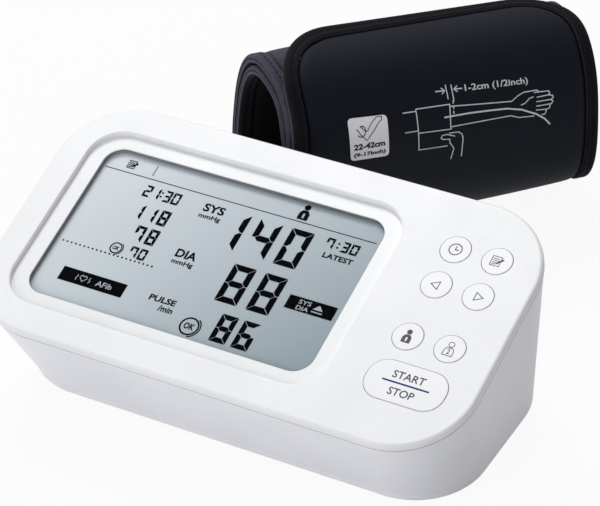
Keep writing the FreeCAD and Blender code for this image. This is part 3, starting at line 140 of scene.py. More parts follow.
def moulded(name, colour, shade, rough, grain=1100, depth=0.00002, **values):
    """Moulded plastic or rubber: fine spark grain, faint flow marks and a little unevenness."""
    finish = Finish(name, **values)
    finish.mottle(finish.noise(28, 3, 0.6), colour, shade)
    fine = finish.noise(grain, 3, 0.6)
    blotch = finish.noise(64.4, 2)
    both = finish.maths("ADD", finish.spread(fine, -0.04, 0.04), finish.spread(blotch, -0.03, 0.03))
    finish.roughness(finish.maths("ADD", both, rough))
    finish.bump(fine, depth)


def metal(name, colour, shade, rough, stretch=(1, 30, 30)):
    """Drawn or brushed metal, with its lines along X unless stretch says otherwise."""
    finish = Finish(name, Metallic=1.0)
    lines = finish.noise(90, 4, 0.6, stretch)
    finish.mottle(finish.noise(60, 3), colour, shade)
    finish.roughness(finish.spread(lines, rough - 0.08, rough + 0.1))
    finish.bump(lines, 0.00002)


def board(name, colour, copper):
    """Solder mask over traces, with bare pads."""
    finish = Finish(name, Roughness=0.4)
    cells = finish.node("TexVoronoi", {"feature": "DISTANCE_TO_EDGE", "distance": "CHEBYCHEV"},
                        Vector=finish.where, Scale=160, Randomness=0.7).outputs["Distance"]
    traces = finish.spread(cells, 1, 0, 0.03, 0.06)
    pads = finish.spread(finish.node("TexVoronoi", Vector=finish.where, Scale=210).outputs[0],
                         1, 0, 0.16, 0.2)
    lit = [part * 1.6 for part in srgb(*colour)[:3]] + [1]
    masked = finish.mix(traces, colour, lit)
    finish.colour(finish.mix(finish.maths("MULTIPLY", pads, 0.8), masked, copper))
    finish.bump(traces, 0.00004)


def wrapped_cell(name, body, band):
    """Printed foil round a dry cell, with a bright band near one end."""
    finish = Finish(name, Metallic=0.55, Roughness=0.32)
    place = finish.along(1)
    ring = finish.spread(finish.maths("ABSOLUTE", finish.maths("SUBTRACT", place, 0.017)), 1, 0,
                         0.0055, 0.0058)
    scuff = finish.noise(400, 4, 0.6)
    worn = finish.mix(finish.spread(scuff, 0, 0.25), body, (70, 70, 74))
    finish.colour(finish.mix(ring, worn, band))
    finish.bump(scuff, 0.00001)


# The display window: its middle across the face, half sizes and corner, in millimetres.
WINDOW_X, WINDOW_HALF_X, WINDOW_HALF_Y, WINDOW_CORNER = -24.1, 65.5, 38.4, 8.5


def display_glass(name):
    """The reflecting back of the LCD: pale blue-grey, with painted reflection that makes it paler
    towards the left and the back, and a painted shadow under the frame's left and back edges."""
    finish = Finish(name, Roughness=0.42, Specular_IOR_Level=0.2)
    # Painted reflection: the glass is paler towards the left and the back of the window.
    across = finish.spread(finish.along(0), 0, 1, -0.09, 0.042)
    back = finish.spread(finish.along(1), 0, 1, -0.046, 0.026)
    front = finish.mix(across, (224, 234, 240), (151, 168, 177))
    rear = finish.mix(across, (238, 245, 252), (184, 198, 205))
    frost = finish.noise(2600, 2)
    pale = finish.mix(finish.spread(frost, 0, 0.06), finish.mix(back, front, rear),
                      (126, 140, 150))
    # The place from the window's middle, up the slope; then how far it lies outside the box
    # between the middles of the window's round corners.
    centred = finish.node("Mapping", Vector=finish.where, Scale=(1, 1.0545, 0),
                          Location=(-WINDOW_X * MM, 0.01157, 0)).outputs[0]
    folded = finish.maths("ABSOLUTE", centred, kind="VectorMath")
    box = [(half - WINDOW_CORNER) * MM for half in (WINDOW_HALF_X, WINDOW_HALF_Y)] + [0]
    beyond = finish.maths("SUBTRACT", folded, box, "VectorMath")
    outer = finish.maths("MAXIMUM", beyond, kind="VectorMath")
    edge = finish.maths("LENGTH", outer, kind="VectorMath", output="Value")
    near = finish.spread(edge, 0, 1, 0.0047, 0.0096)
    sides = finish.node("SeparateXYZ", Vector=centred)
    slant = finish.maths("SUBTRACT", finish.maths("MULTIPLY", sides.outputs[1], 26.0),
                         finish.maths("MULTIPLY", sides.outputs[0], 15.3))
    # Painted shadow of the frame's left and back edges on the glass, darkest at the edge.
    painted_shading = finish.maths("MULTIPLY", finish.maths("MULTIPLY", near, near),
                        finish.spread(slant, 0, 0.62, -0.5, 0.3))
    finish.colour(finish.mix(painted_shading, pale, (90, 101, 111)))
    finish.bump(frost, 0.00001, 0.4)


def clear_lens(name):
    """Clear acrylic, nearly without reflection."""
    finish = Finish(name, Alpha=0.05, IOR=1.49, Specular_IOR_Level=0.05)
    smear = finish.noise(45, 3)
    finish.mottle(smear, (34, 36, 38), (26, 28, 30))
    finish.roughness(finish.spread(smear, 0.05, 0.12))


def woven(name, colour, shade, thread, rough, depth, sheen=0.0, bands=()):
    """Plain weave on the cloth's own map: U along the cloth, V across it, in metres. Bands are
    painted highlights: paler lines along it, as place, half width and colour."""
    finish = Finish(name, Sheen_Weight=sheen, Sheen_Roughness=0.5, Sheen_Tint=srgb(120, 124, 140),
                    Specular_IOR_Level=0.08)
    cloth = finish.node("UVMap").outputs[0]
    warp, weft = [finish.node("TexWave", {"bands_direction": way}, Vector=cloth,
                              Scale=0.314 / thread, Distortion=0.6, Detail=1.0,
                              Detail_Scale=2.0).outputs[1] for way in "XY"]
    weave = finish.maths("MAXIMUM", warp, weft)
    slub = finish.noise(900, 3, 0.6)
    tint = finish.mix(finish.spread(finish.blend(weave, 0.35, slub), 0, 1), shade, colour)
    across = finish.node("SeparateXYZ", Vector=cloth).outputs[1]
    for place, half, pale in bands:
        off = finish.maths("ABSOLUTE", finish.maths("SUBTRACT", across, place))
        tint = finish.mix(finish.spread(off, 1, 0, half * 0.6, half), tint, pale)
    finish.colour(tint)
    finish.roughness(finish.spread(slub, rough - 0.07, rough + 0.07))
    soft = finish.bump(finish.noise(120, 3), depth * 4, 0.5)
    finish.bump(weave, depth, 0.7, soft)


def napped(name, colour, shade):
    """Brushed loop fabric: short fibres, mottled and matt, with a soft rim."""
    finish = Finish(name, Sheen_Weight=0.2, Sheen_Roughness=0.45,
                    Sheen_Tint=srgb(150, 150, 165), Specular_IOR_Level=0.08)
    fibre = finish.noise(1500, 5, 0.75)
    tuft = finish.noise(330, 3, 0.6)
    lay = finish.noise(40, 3, 0.6)
    mottled = finish.mix(finish.spread(finish.blend(fibre, 0.6, tuft), 0, 1), shade, colour)
    finish.colour(finish.mix(finish.spread(lay, 0, 0.35), mottled, shade))
    finish.roughness(finish.spread(fibre, 0.85, 0.95))
    soft = finish.bump(tuft, 0.0004, 0.6)
    finish.bump(fibre, 0.0002, 0.8, soft)


def hooks(name, colour, shade):
    """A field of small hooks."""
    finish = Finish(name, Roughness=0.6)
    dots = finish.node("TexVoronoi", Vector=finish.where, Scale=700, Randomness=0.35).outputs[0]
    finish.colour(finish.mix(finish.spread(dots, 1, 0, 0.2, 0.6), shade, colour))
    finish.bump(dots, 0.0003)


def ink_and_painted_shade(name, colour, shade, rough=0.5, shine=0.06):
    """Used for printing, LCD segments and painted shade: a colour with a slightly uneven film."""
    finish = Finish(name, Specular_IOR_Level=shine)
    film = finish.noise(700, 3, 0.6)
    finish.mottle(film, colour, shade)
    finish.roughness(finish.spread(film, rough - 0.08, rough + 0.08))
    finish.bump(film, 0.00001)


moulded("cover_white", (240, 241, 243), (234, 235, 237), 0.42)
moulded("base_white", (238, 239, 244), (232, 233, 239), 0.45)
moulded("frame_white", (236, 237, 239), (232, 233, 235), 0.36, depth=0.00001)
moulded("key_white", (242, 243, 245), (236, 237, 240), 0.38, depth=0.00001)
clear_lens("lens_clear")
display_glass("lcd_glass")
moulded("holder_white", (225, 226, 224), (212, 213, 210), 0.5)
moulded("connector_pink", (214, 150, 160), (196, 132, 144), 0.7, 2400)
board("board_green", (26, 92, 52), (196, 160, 96))
metal("steel", (190, 192, 196), (150, 152, 158), 0.3)
moulded("switch_black", (34, 34, 36), (26, 26, 28), 0.45)
moulded("mat_grey", (168, 170, 172), (156, 158, 160), 0.7)
moulded("chip_black", (30, 30, 32), (40, 40, 43), 0.6, 2400)
wrapped_cell("cell_wrap", (30, 31, 36), (176, 130, 84))
metal("contact_steel", (206, 204, 196), (172, 168, 158), 0.26)
moulded("jack_black", (28, 28, 30), (22, 22, 24), 0.42)
moulded("foot_rubber", (70, 71, 74), (60, 61, 64), 0.82, 1500, 0.00005)
moulded("manifold_white", (228, 228, 224), (216, 216, 212), 0.5)
moulded("tube_silicone", (216, 218, 216), (202, 205, 203), 0.45, Subsurface_Weight=0.2,
        Subsurface_Scale=0.002)
moulded("sensor_black", (38, 38, 40), (30, 30, 32), 0.5)
metal("motor_steel", (176, 178, 182), (142, 144, 150), 0.32, (30, 1, 1))
moulded("pump_black", (40, 41, 44), (32, 33, 36), 0.5)
moulded("former_plastic", (208, 210, 208), (196, 198, 196), 0.4)
moulded("bladder_rubber", (52, 54, 58), (44, 46, 50), 0.6)
napped("felt", (196, 196, 192), (168, 168, 164))
hooks("hook_fabric", (44, 45, 50), (22, 22, 26))
moulded("label_grey", (251, 251, 252), (247, 247, 249), 0.4, 700)
moulded("port_grey", (96, 98, 104), (84, 86, 92), 0.55)
woven("cover_fabric", (19, 23, 33), (11, 14, 22), 0.0005, 0.62, 0.00004)
woven("inner_fabric", (12, 13, 17), (6, 7, 9), 0.0006, 0.8, 0.00006, 0.05)
napped("velour", (82, 81, 96), (42, 42, 53))
# Painted highlights on the binding: along its rim, and faintly at its inner edge beside the panel.
woven("binding_fabric", (23, 23, 29), (11, 11, 15), 0.0008, 0.85, 0.00012, 0.1,
      bands=((0.0087, 0.0006, (84, 84, 95)), (0.0003, 0.0005, (48, 49, 56))))
ink_and_painted_shade("thread", (26, 27, 33), (16, 16, 20), 0.8)
ink_and_painted_shade("segment_ink", (6, 8, 11), (10, 12, 15), 0.6, 0.0)
ink_and_painted_shade("word_ink", (9, 12, 16), (14, 18, 22), 0.6, 0.0)
ink_and_painted_shade("pale_ink", (196, 204, 210), (184, 192, 199), 0.5)
# Painted shade in the narrow gaps under the top cover's edge and round the keys.
ink_and_painted_shade("gap_dusk", (130, 130, 137), (120, 120, 127), 0.8, 0.0)
# Painted shadow along the window's back and left edges.
ink_and_painted_shade("shade_ink", (46, 53, 61), (56, 64, 72), 0.6, 0.0)
ink_and_painted_shade("key_ink", (92, 94, 100), (80, 82, 88), 0.5)
ink_and_painted_shade("key_ink_dark", (96, 97, 100), (86, 87, 91), 0.5)
ink_and_painted_shade("blue_ink", (40, 40, 122), (34, 34, 112), 0.45)
ink_and_painted_shade("cuff_ink", (226, 228, 233), (206, 208, 215), 0.55)
ink_and_painted_shade("label_ink", (32, 33, 38), (42, 43, 48), 0.5)

for part in frame["record"]["subparts"]:
    for held in frame["nodes"][part["node"]].material_slots:
        held.material = FINISHES[part["material_slot"]]


# ---- pieces and prints

def piece(shapes, name, finish, body, smooth=True):
    """The shapes of a bmesh as a piece of the object that goes with a body."""
    mesh = bpy.data.meshes.new(name)
    shapes.to_mesh(mesh)
    shapes.free()
    for one in finish if isinstance(finish, tuple) else (finish,):
        mesh.materials.append(FINISHES[one])
    if smooth:
        mesh.shade_smooth()
    else:
        mesh.shade_flat()
    thing = bpy.data.objects.new(name, mesh)
    bpy.context.scene.collection.objects.link(thing)
    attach(thing, body)
    return thing


def subdivided(thing):
    rounding = thing.modifiers.new("smooth", "SUBSURF")
    rounding.levels = rounding.render_levels = 1


def wall(mesh, first, second, number=0):
    """Faces between two closed rows of points."""
    for i in range(len(first)):
        j = (i + 1) % len(first)
        mesh.faces.new((first[i], first[j], second[j], second[i])).material_index = number


TILT = math.radians(18.5)
FACE_Y, FACE_Z = -12.4, 66.0  # where the tilted face's middle lies


def face(x, y, z):
    """A point of the tilted face: X to the right, Y up the slope, Z out of it."""
    return Vector((x, FACE_Y + y * math.cos(TILT) - z * math.sin(TILT),
                   FACE_Z + y * math.sin(TILT) + z * math.cos(TILT))) * MM


# The lower and upper level of each print, off the tilted face or off the cuff's cloth.
SEGMENTS, BAR_WORDS, WORDS = (-4.47, -4.40), (-4.39, -4.36), (-4.47, -4.42)
# Levels of the painted shade: the window's edge line, the seam under the top cover and the gaps
# round the keys.
PAINTED_EDGE_LINE, PAINTED_SEAM_SHADE, PAINTED_KEY_SHADE = (-4.48, -4.44), (-3.58, -3.22), (-0.5, -0.1)
KEY_MARK, ON_KEY_MARK = (0.25, 0.29), (0.28, 0.31)
CUFF_PRINT, TAG, TAG_PRINT = (0.03, 0.09), (0.05, 0.38), (0.40, 0.46)


class Print:
    """Thin flat shapes between two levels of a surface, gathered into one piece."""

    def __init__(self, levels, place=face):
        self.mesh = bmesh.new()
        self.low, self.high = levels
        self.place = place

    def rings(self, points):
        return [[self.mesh.verts.new(self.place(x, y, level)) for x, y in points]
                for level in (self.low, self.high)]

    def shape(self, points):
        """A filled outline, counter-clockwise."""
        lower, upper = self.rings(points)
        self.mesh.faces.new(upper)
        self.mesh.faces.new(lower[::-1])
        wall(self.mesh, lower, upper)

    def strip(self, right, left, closed=False):
        """A band between two rows of points, with left on the left of its course."""
        low_r, top_r = self.rings(right)
        low_l, top_l = self.rings(left)
        count, new = len(right), self.mesh.faces.new
        for i in range(count if closed else count - 1):
            j = (i + 1) % count
            for one, other in ((top_r, top_l), (low_l, low_r), (low_r, top_r), (top_l, low_l)):
                new((one[i], one[j], other[j], other[i]))
        if not closed:
            new((low_l[0], low_r[0], top_r[0], top_l[0]))
            new((low_r[-1], low_l[-1], top_l[-1], top_r[-1]))

    def stroke(self, points, width, closed=False):
        """A line of even width through the points, in short runs so that it follows a curve."""
        run = []
        for (x0, y0), (x1, y1) in zip(points, points[1:] + points[:1] if closed else points[1:]):
            parts = max(1, math.ceil(math.hypot(x1 - x0, y1 - y0) / 2.0))
            run += [(x0 + (x1 - x0) * i / parts, y0 + (y1 - y0) * i / parts) for i in range(parts)]
        if not closed:
            run.append(points[-1])
        right, left = [], []
        for i, (x, y) in enumerate(run):
            before = run[i - 1] if i or closed else None
            after = run[(i + 1) % len(run)] if i < len(run) - 1 or closed else None
            arms = []
            for a, b in ((before, (x, y)), ((x, y), after)):
                if a and b:
                    length = math.hypot(b[0] - a[0], b[1] - a[1])
                    arms.append((-(b[1] - a[1]) / length, (b[0] - a[0]) / length))
            nx, ny = sum(arm[0] for arm in arms), sum(arm[1] for arm in arms)
            size = max(math.hypot(nx, ny), 0.5)
            reach = width / 2 / (size * size / 2 if len(arms) == 2 else size)
            right.append((x - nx * reach, y - ny * reach))
            left.append((x + nx * reach, y + ny * reach))
        self.strip(right, left, closed)

    def arc(self, x, y, radius, width, start=0, end=360, squash=1.0):
        count = max(6, int(abs(end - start) / 12))
        closed = end - start >= 360
        turns = [math.radians(start + (end - start) * i / count)
                 for i in range(count + (not closed))]
        rows = [[(x + reach * math.cos(t), y + squash * reach * math.sin(t)) for t in turns]
                for reach in (radius + width / 2, radius - width / 2)]
        self.strip(rows[0], rows[1], closed)

    def disc(self, x, y, radius):
        turns = [math.tau * i / 24 for i in range(24)]
        self.shape([(x + radius * math.cos(t), y + radius * math.sin(t)) for t in turns])

    def bar(self, x0, y0, x1, y1):
        self.shape([(x0, y0), (x1, y0), (x1, y1), (x0, y1)])

    def words(self, text, x0, y0, x1, y1, weight):
        """Lettering that fills a rectangle."""
        curve = bpy.data.curves.new("lettering", "FONT")
        curve.body = text
        curve.extrude = 0.5
        curve.resolution_u = 3
        curve.offset = weight
        letters = bpy.data.objects.new("lettering", curve)
        flat = bpy.data.meshes.new_from_object(letters)
        xs = [v.co.x for v in flat.vertices]
        ys = [v.co.y for v in flat.vertices]
        wide, high = max(xs) - min(xs), max(ys) - min(ys)
        left, bottom = min(xs), min(ys)
        for v in flat.vertices:
            x = x0 + (v.co.x - left) / wide * (x1 - x0)
            y = y0 + (v.co.y - bottom) / high * (y1 - y0)
            v.co = self.place(x, y, self.low + (v.co.z + 0.5) * (self.high - self.low))
        self.mesh.from_mesh(flat)
        bpy.data.meshes.remove(flat)
        bpy.data.objects.remove(letters)
        bpy.data.curves.remove(curve)

    def done(self, name, finish, body):
        piece(self.mesh, name, finish, body, smooth=False)


# ---- the display's image

# The segments of each numeral from 0 to 9: a top, g middle, d foot, f b upper and e c lower.
LIT = "abcdef bc abged abgcd fgbc afgcd afgedc fabc abcdefg abcdfg".split()


def digit(ink_layer, numeral, x, y, width, height, thick):
    """A seven-segment numeral with mitred ends."""
    gap = 0.06 * thick + 0.03
    right, top, middle, half = x + width, y + height, y + height / 2, thick / 2
    segments = {
        "a": [(x + gap, top), (x + thick + gap, top - thick), (right - thick - gap, top - thick),
              (right - gap, top)],
        "f": [(x, top - gap), (x, middle + gap), (x + half, middle + gap),
              (x + thick, middle + half + gap), (x + thick, top - thick - gap)],
        "g": [(x + half + gap, middle), (x + thick + gap, middle - half),
              (right - thick - gap, middle - half), (right - half - gap, middle),
              (right - thick - gap, middle + half), (x + thick + gap, middle + half)],
    }
    segments["b"] = [(x + right - px, py) for px, py in segments["f"][::-1]]
    for above, below in ("ad", "fe", "bc"):
        segments[below] = [(px, 2 * middle - py) for px, py in segments[above][::-1]]
    for name in LIT[int(numeral)]:
        ink_layer.shape(segments[name])


# The display's numbers: text, left, foot, a numeral's width, height and stroke, and the pitch.
NUMBERS = [
    ("140", -26.0, 6.9, 10.1, 18.3, 2.7, 14.4), (" 88", -25.9, -16.7, 10.1, 18.5, 2.7, 14.3),
    ("86", -4.7, -34.7, 7.4, 13.2, 2.25, 10.0), ("118", -65.2, 8.7, 4.3, 7.5, 1.25, 6.05),
    (" 78", -65.4, -1.5, 4.4, 7.7, 1.25, 6.15), ("70", -56.5, -9.3, 3.4, 5.4, 0.95, 4.3),
    ("21", -66.0, 20.0, 3.5, 5.7, 0.92, 3.9), ("30", -56.6, 20.0, 3.5, 5.7, 0.92, 4.15),
    ("7", 19.1, 20.5, 3.4, 5.1, 0.9, 4.0), ("30", 26.0, 20.5, 3.4, 5.1, 0.9, 4.15)]
# The display's words, each with its box and the weight of its strokes.
CAPTIONS = [
    ("SYS", -37.6, 21.2, -27.9, 25.2, 0.028), ("mmHg", -37.8, 17.3, -27.8, 20.1, 0.022),
    ("DIA", -37.6, -2.8, -28.2, 1.2, 0.028), ("mmHg", -37.6, -6.7, -27.8, -3.9, 0.022),
    ("PULSE", -37.5, -25.1, -25.4, -22.3, 0.028), ("/min", -31.4, -28.8, -24.9, -25.9, 0.022),
    ("LATEST", 20.5, 16.0, 33.8, 18.5, 0.028)]


def person(layer, x, base, scale, light):
    """A head and shoulders, with the figure 1 on them."""
    layer.disc(x, base + 5.2 * scale, 1.15 * scale)
    body = [(-1.9, 0), (1.9, 0), (1.9, 2.6), (1.0, 3.9), (-1.0, 3.9), (-1.9, 2.6)]
    layer.shape([(x + px * scale, base + py * scale) for px, py in body])
    light.words("1", x - 0.35 * scale, base + 0.7 * scale, x + 0.35 * scale, base + 2.6 * scale,
                0.01)


def memo(layer, x, y, size, width):
    """A written page with a pencil across its corner."""
    page = [(-0.5, -0.5), (0.38, -0.5), (0.38, -0.1), (0.38, 0.5), (-0.5, 0.5)]
    layer.stroke([(x + px * size, y + py * size) for px, py in page], width, closed=True)
    for row in (0.26, 0.06, -0.14, -0.32):
        reach = 0.22 if row > 0 else 0.02
        layer.stroke([(x - 0.36 * size, y + row * size), (x + reach * size, y + row * size)], width)
    layer.stroke([(x + 0.04 * size, y - 0.26 * size), (x + 0.6 * size, y + 0.3 * size)],
                 width * 2.4)


def display_image():
    dark, light, fine = Print(SEGMENTS), Print(BAR_WORDS), Print(WORDS)
    for text, x, y, width, height, thick, pitch in NUMBERS:
        for place, numeral in enumerate(text):
            if numeral != " ":
                digit(dark, numeral, x + place * pitch, y, width, height, thick)
    for x, y in ((-57.7, 22.0), (-57.7, 24.0), (24.5, 22.0), (24.5, 24.0)):
        dark.disc(x, y, 0.46)
    person(dark, 4.1, 29.9, 1.2, light)
    memo(dark, -77.4, 33.0, 3.7, 0.34)
    dark.bar(17.0, -10.7, 38.2, -4.3)
    dark.bar(-79.0, -28.35, -48.9, -21.8)
    dark.done("display_figures", "segment_ink", "monitor")
    light.words("SYS", 21.8, -7.3, 27.3, -5.3, 0.012)
    light.words("DIA", 21.8, -10.1, 27.3, -8.1, 0.012)
    light.shape([(28.7, -8.0), (33.1, -8.0), (30.9, -5.6)])
    light.bar(28.5, -9.4, 33.3, -8.9)
    light.words("AFib", -62.0, -26.5, -54.6, -23.9, 0.01)
    heart_x, heart_y = -68.3, -25.0
    heart = [(0, -1.5), (1.5, 0.1), (1.4, 1.1), (0.7, 1.4), (0, 0.9), (-0.7, 1.4), (-1.4, 1.1),
             (-1.5, 0.1)]
    light.stroke([(heart_x + x, heart_y + y) for x, y in heart], 0.3, closed=True)
    for side in (-1, 1):
        wave = [(3.1, 1.3), (2.7, 0.4), (3.3, -0.5), (2.9, -1.5)]
        light.stroke([(heart_x + side * x, heart_y + y) for x, y in wave], 0.3)
    light.done("display_bar_words", "pale_ink", "monitor")
    fine.bar(-88.3, 28.65, 38.9, 28.98)
    fine.bar(-66.5, 30.5, -66.2, 35.7)
    for caption in CAPTIONS:
        fine.words(*caption)
    for place in range(22):
        fine.disc(-86.3 + 2.02 * place, -10.5, 0.42)
    for x, y, size in ((-62.9, -7.0, 2.5), (-15.0, -31.4, 3.9)):
        fine.arc(x, y, size, 0.12 * size + 0.24)
        fine.words("OK", x - 0.6 * size, y - 0.38 * size, x + 0.6 * size, y + 0.38 * size, 0.03)
    for x, y, size, width in ((-15.0, -31.4, 4.85, 0.55), (-62.9, -7.0, 3.2, 0.35)):
        fine.arc(x, y, size, width, -75, 55)
    fine.done("display_words", "word_ink", "monitor")


def round_box(x, y, half_width, half_length, corner):
    """A rounded rectangle's outline, counter-clockwise."""
    outline = []
    for quarter, (across, up) in enumerate(((1, 1), (-1, 1), (-1, -1), (1, -1))):
        for step in range(19):
            turn = math.radians(90 * quarter + 5 * step)
            point = (x + across * (half_width - corner) + corner * math.cos(turn),
                     y + up * (half_length - corner) + corner * math.sin(turn))
            if not outline or math.dist(point, outline[-1]) > 0.001:
                outline.append(point)
    return outline if math.dist(outline[0], outline[-1]) > 0.001 else outline[:-1]


COVER = (0.0, 0.0, 109.8, 58.55, 31.8)  # middle, half sizes and corner just inside its edge
START_KEY = (81.4, -30.4, 16.925, 9.025, 8.125)
ROUND_KEYS = [(x, y) for y in (33.4, 15.7, -9.9) for x in (72.4, 90.4)]
ROUND_KEY = 6.325  # radius of the middle of the gap round a key


def gap_shades():
    """Painted shade inside the narrow gaps: under the top cover's edge and round the keys."""
    painted_shading = Print(PAINTED_SEAM_SHADE)
    painted_shading.stroke(round_box(*COVER), 0.3, closed=True)
    painted_shading.done("case_seam_shade", "gap_dusk", "monitor")
    painted_shading = Print(PAINTED_KEY_SHADE)
    for x, y in ROUND_KEYS:
        painted_shading.stroke(round_box(x, y, ROUND_KEY, ROUND_KEY, ROUND_KEY), 0.16, closed=True)
    painted_shading.stroke(round_box(*START_KEY), 0.16, closed=True)
    painted_shading.done("key_gap_shade", "gap_dusk", "monitor")


def display_edge():
    """A painted shadow: the dark line where the window's back and left edges shade the glass."""
    shade = Print(PAINTED_EDGE_LINE)
    left, back = WINDOW_X - WINDOW_HALF_X + 0.2, WINDOW_HALF_Y - 0.2
    corner = [(left + WINDOW_CORNER * (1 - math.sin(turn)),
               back - WINDOW_CORNER * (1 - math.cos(turn)))
              for turn in (math.radians(90 - 10 * step) for step in range(10))]
    ends = (left, 7 - WINDOW_HALF_Y), (WINDOW_X + WINDOW_HALF_X - 6, back)
    shade.stroke([ends[0]] + corner + [ends[1]], 0.1)
    shade.done("display_edge_shade", "shade_ink", "monitor")


# ---- the keys' marks

def key_marks():
    left, right, clock, note, user, second, start, rule = [Print(KEY_MARK) for _ in range(8)]
    left.stroke([(70.2, 15.5), (73.55, 17.35), (73.5, 13.6)], 0.34, closed=True)
    left.done("button_left_mark", "key_ink", "button_left")
    right.stroke([(92.6, 15.5), (89.25, 13.6), (89.25, 17.35)], 0.34, closed=True)
    right.done("button_right_mark", "key_ink", "button_right")
    clock.arc(72.4, 33.4, 2.6, 0.42)
    clock.stroke([(72.4, 35.0), (72.4, 33.2), (73.9, 33.2)], 0.42)
    clock.done("button_clock_mark", "key_ink", "button_clock")
    memo(note, 90.2, 33.3, 4.4, 0.3)
    note.done("button_memo_mark", "key_ink", "button_memo")
    figure = Print(ON_KEY_MARK)
    person(user, 72.4, -13.0, 0.98, figure)
    user.done("button_user_1_mark", "key_ink_dark", "button_user_1")
    figure.done("button_user_1_figure", "key_white", "button_user_1")
    second.arc(90.4, -8.0, 1.15, 0.3)
    second.stroke([(88.4, -13.1), (92.4, -13.1), (92.4, -10.8), (91.6, -9.6), (89.2, -9.6),
                   (88.4, -10.8)], 0.3, closed=True)
    second.words("2", 89.75, -12.4, 91.05, -10.2, 0.004)
    second.done("button_user_2_mark", "key_ink", "button_user_2")
    start.words("START", 74.6, -28.8, 88.2, -25.4, 0.012)
    start.words("STOP", 76.0, -36.3, 86.8, -32.9, 0.012)
    start.done("start_stop_words", "key_ink", "start_stop_button")
    rule.bar(71.5, -31.0, 91.4, -30.3)
    rule.done("start_stop_rule", "blue_ink", "start_stop_button")


# ---- the rolled cuff

CUFF_WALL = 4.5  # the empty cuff's thickness
PITCH = CUFF_WALL + 1.0  # from one turn to the next
WIDTH = 144.8
TOP = math.radians(-11.5)  # the free end, from the roll's top over its front
INNER_END = TOP + 2.3 * math.tau
HEADING = math.radians(50)
ALONG = Vector((math.cos(HEADING), math.sin(HEADING), 0))
FRONT = Vector((math.sin(HEADING), -math.cos(HEADING), 0))
ROLL_X, ROLL_Y = -52.0, 80.4  # the foot of its left end's middle
STAND = 0.4
TABLE = 0.05  # no cloth goes lower
SQUARING = 2.6  # exponent of the roll's section; an ellipse has 2
CREEP = 0.5  # how far each turn lies further along the roll than the one inside it
# The two ends' width and height, the lean of their middle line and the free end's lift.
LEFT_END, RIGHT_END = (80.0, 108.5, 0.36, 7.6), (65.4, 88.9, 0.0, 0.0)
EDGE = 6.0  # width of the binding
CORNER = 30.0  # radius of the cloth's corners
PANEL_END = 214.0  # where the smooth panel ends, from the free end


def oval(part):
    """A cosine or sine, squared off a little."""
    return math.copysign(abs(part) ** (2 / SQUARING), part)


def end_point(angle, depth, across, tall, lean, lift):
    """Forwards and up of a point at one end of the roll: its angle from the top over the front
    and its depth under the outer face; the end's size, its lean and its free end's lift."""
    raised = lift * max(0.0, 1 - (angle - TOP)) ** 2
    inset = PITCH * (angle - TOP) / math.tau + depth - raised
    up = (tall / 2 - inset) * oval(math.cos(angle))
    forwards = (across / 2 - inset) * oval(math.sin(angle)) + lean * up
    return forwards, tall / 2 - PITCH * (math.pi - TOP) / math.tau + STAND + up


def between(first, second, share):
    return first + (second - first) * share


def roll(angle, along, depth):
    """A point of the cuff: its angle, its place along the roll's axis and its depth."""
    ends = zip(end_point(angle, depth, *LEFT_END), end_point(angle, depth, *RIGHT_END))
    forwards, height = [between(*pair, along / WIDTH) for pair in ends]
    reach = along - CREEP * (angle - TOP) / math.tau
    place = Vector((ROLL_X, ROLL_Y, max(height, TABLE)))
    return (place + ALONG * reach + FRONT * forwards) * MM


ANGLES = [TOP + (INNER_END - TOP) * i / 1200 for i in range(1201)]
REACH = [0.0]
for first, second in zip(ANGLES, ANGLES[1:]):
    step = roll(second, WIDTH / 2, CUFF_WALL / 2) - roll(first, WIDTH / 2, CUFF_WALL / 2)
    REACH.append(REACH[-1] + step.length / MM)
LENGTH = REACH[-1]


def angle_at(reach):
    """The roll's angle at a distance along the cloth from its free end."""
    i = min(max(bisect.bisect_right(REACH, reach), 1), len(REACH) - 1)
    share = (reach - REACH[i - 1]) / (REACH[i] - REACH[i - 1])
    return between(ANGLES[i - 1], ANGLES[i], share)


def corner_inset(reach, radius, length):
    """How far a round corner draws the long edges in, that far from the nearer end."""
    near = min(reach, length - reach)
    if near >= radius:
        return 0.0
    return radius - math.sqrt(max(0.0, radius ** 2 - (radius - near) ** 2))


PAD_LENGTH = LENGTH - 2 * EDGE
PAD_WIDTH = WIDTH - 2 * EDGE
ROWS, COLUMNS = 132, 32
ROW_STEPS, COLUMN_STEPS = range(ROWS + 1), range(COLUMNS + 1)
CELLS = [(i, j) for i in range(ROWS) for j in range(COLUMNS)]


def around(rows, columns):
    """The places on a grid's border, in order."""
    return ([(i, 0) for i in range(rows)] + [(rows, j) for j in range(columns)]
            + [(i, columns) for i in range(rows, 0, -1)] + [(0, j) for j in range(columns, 0, -1)])


def pad_grid():
    """Distance along the cloth and place across it, for every point of the padded field."""
    grid = []
    for i in ROW_STEPS:
        reach = PAD_LENGTH * i / ROWS
        inset = min(corner_inset(reach, CORNER - EDGE, PAD_LENGTH), PAD_WIDTH / 2 - 20)
        grid.append([(EDGE + reach, EDGE + inset + (PAD_WIDTH - 2 * inset) * j / COLUMNS)
                     for j in COLUMN_STEPS])
    return grid


HALF = 1.2  # half the pad's thickness before the simulation


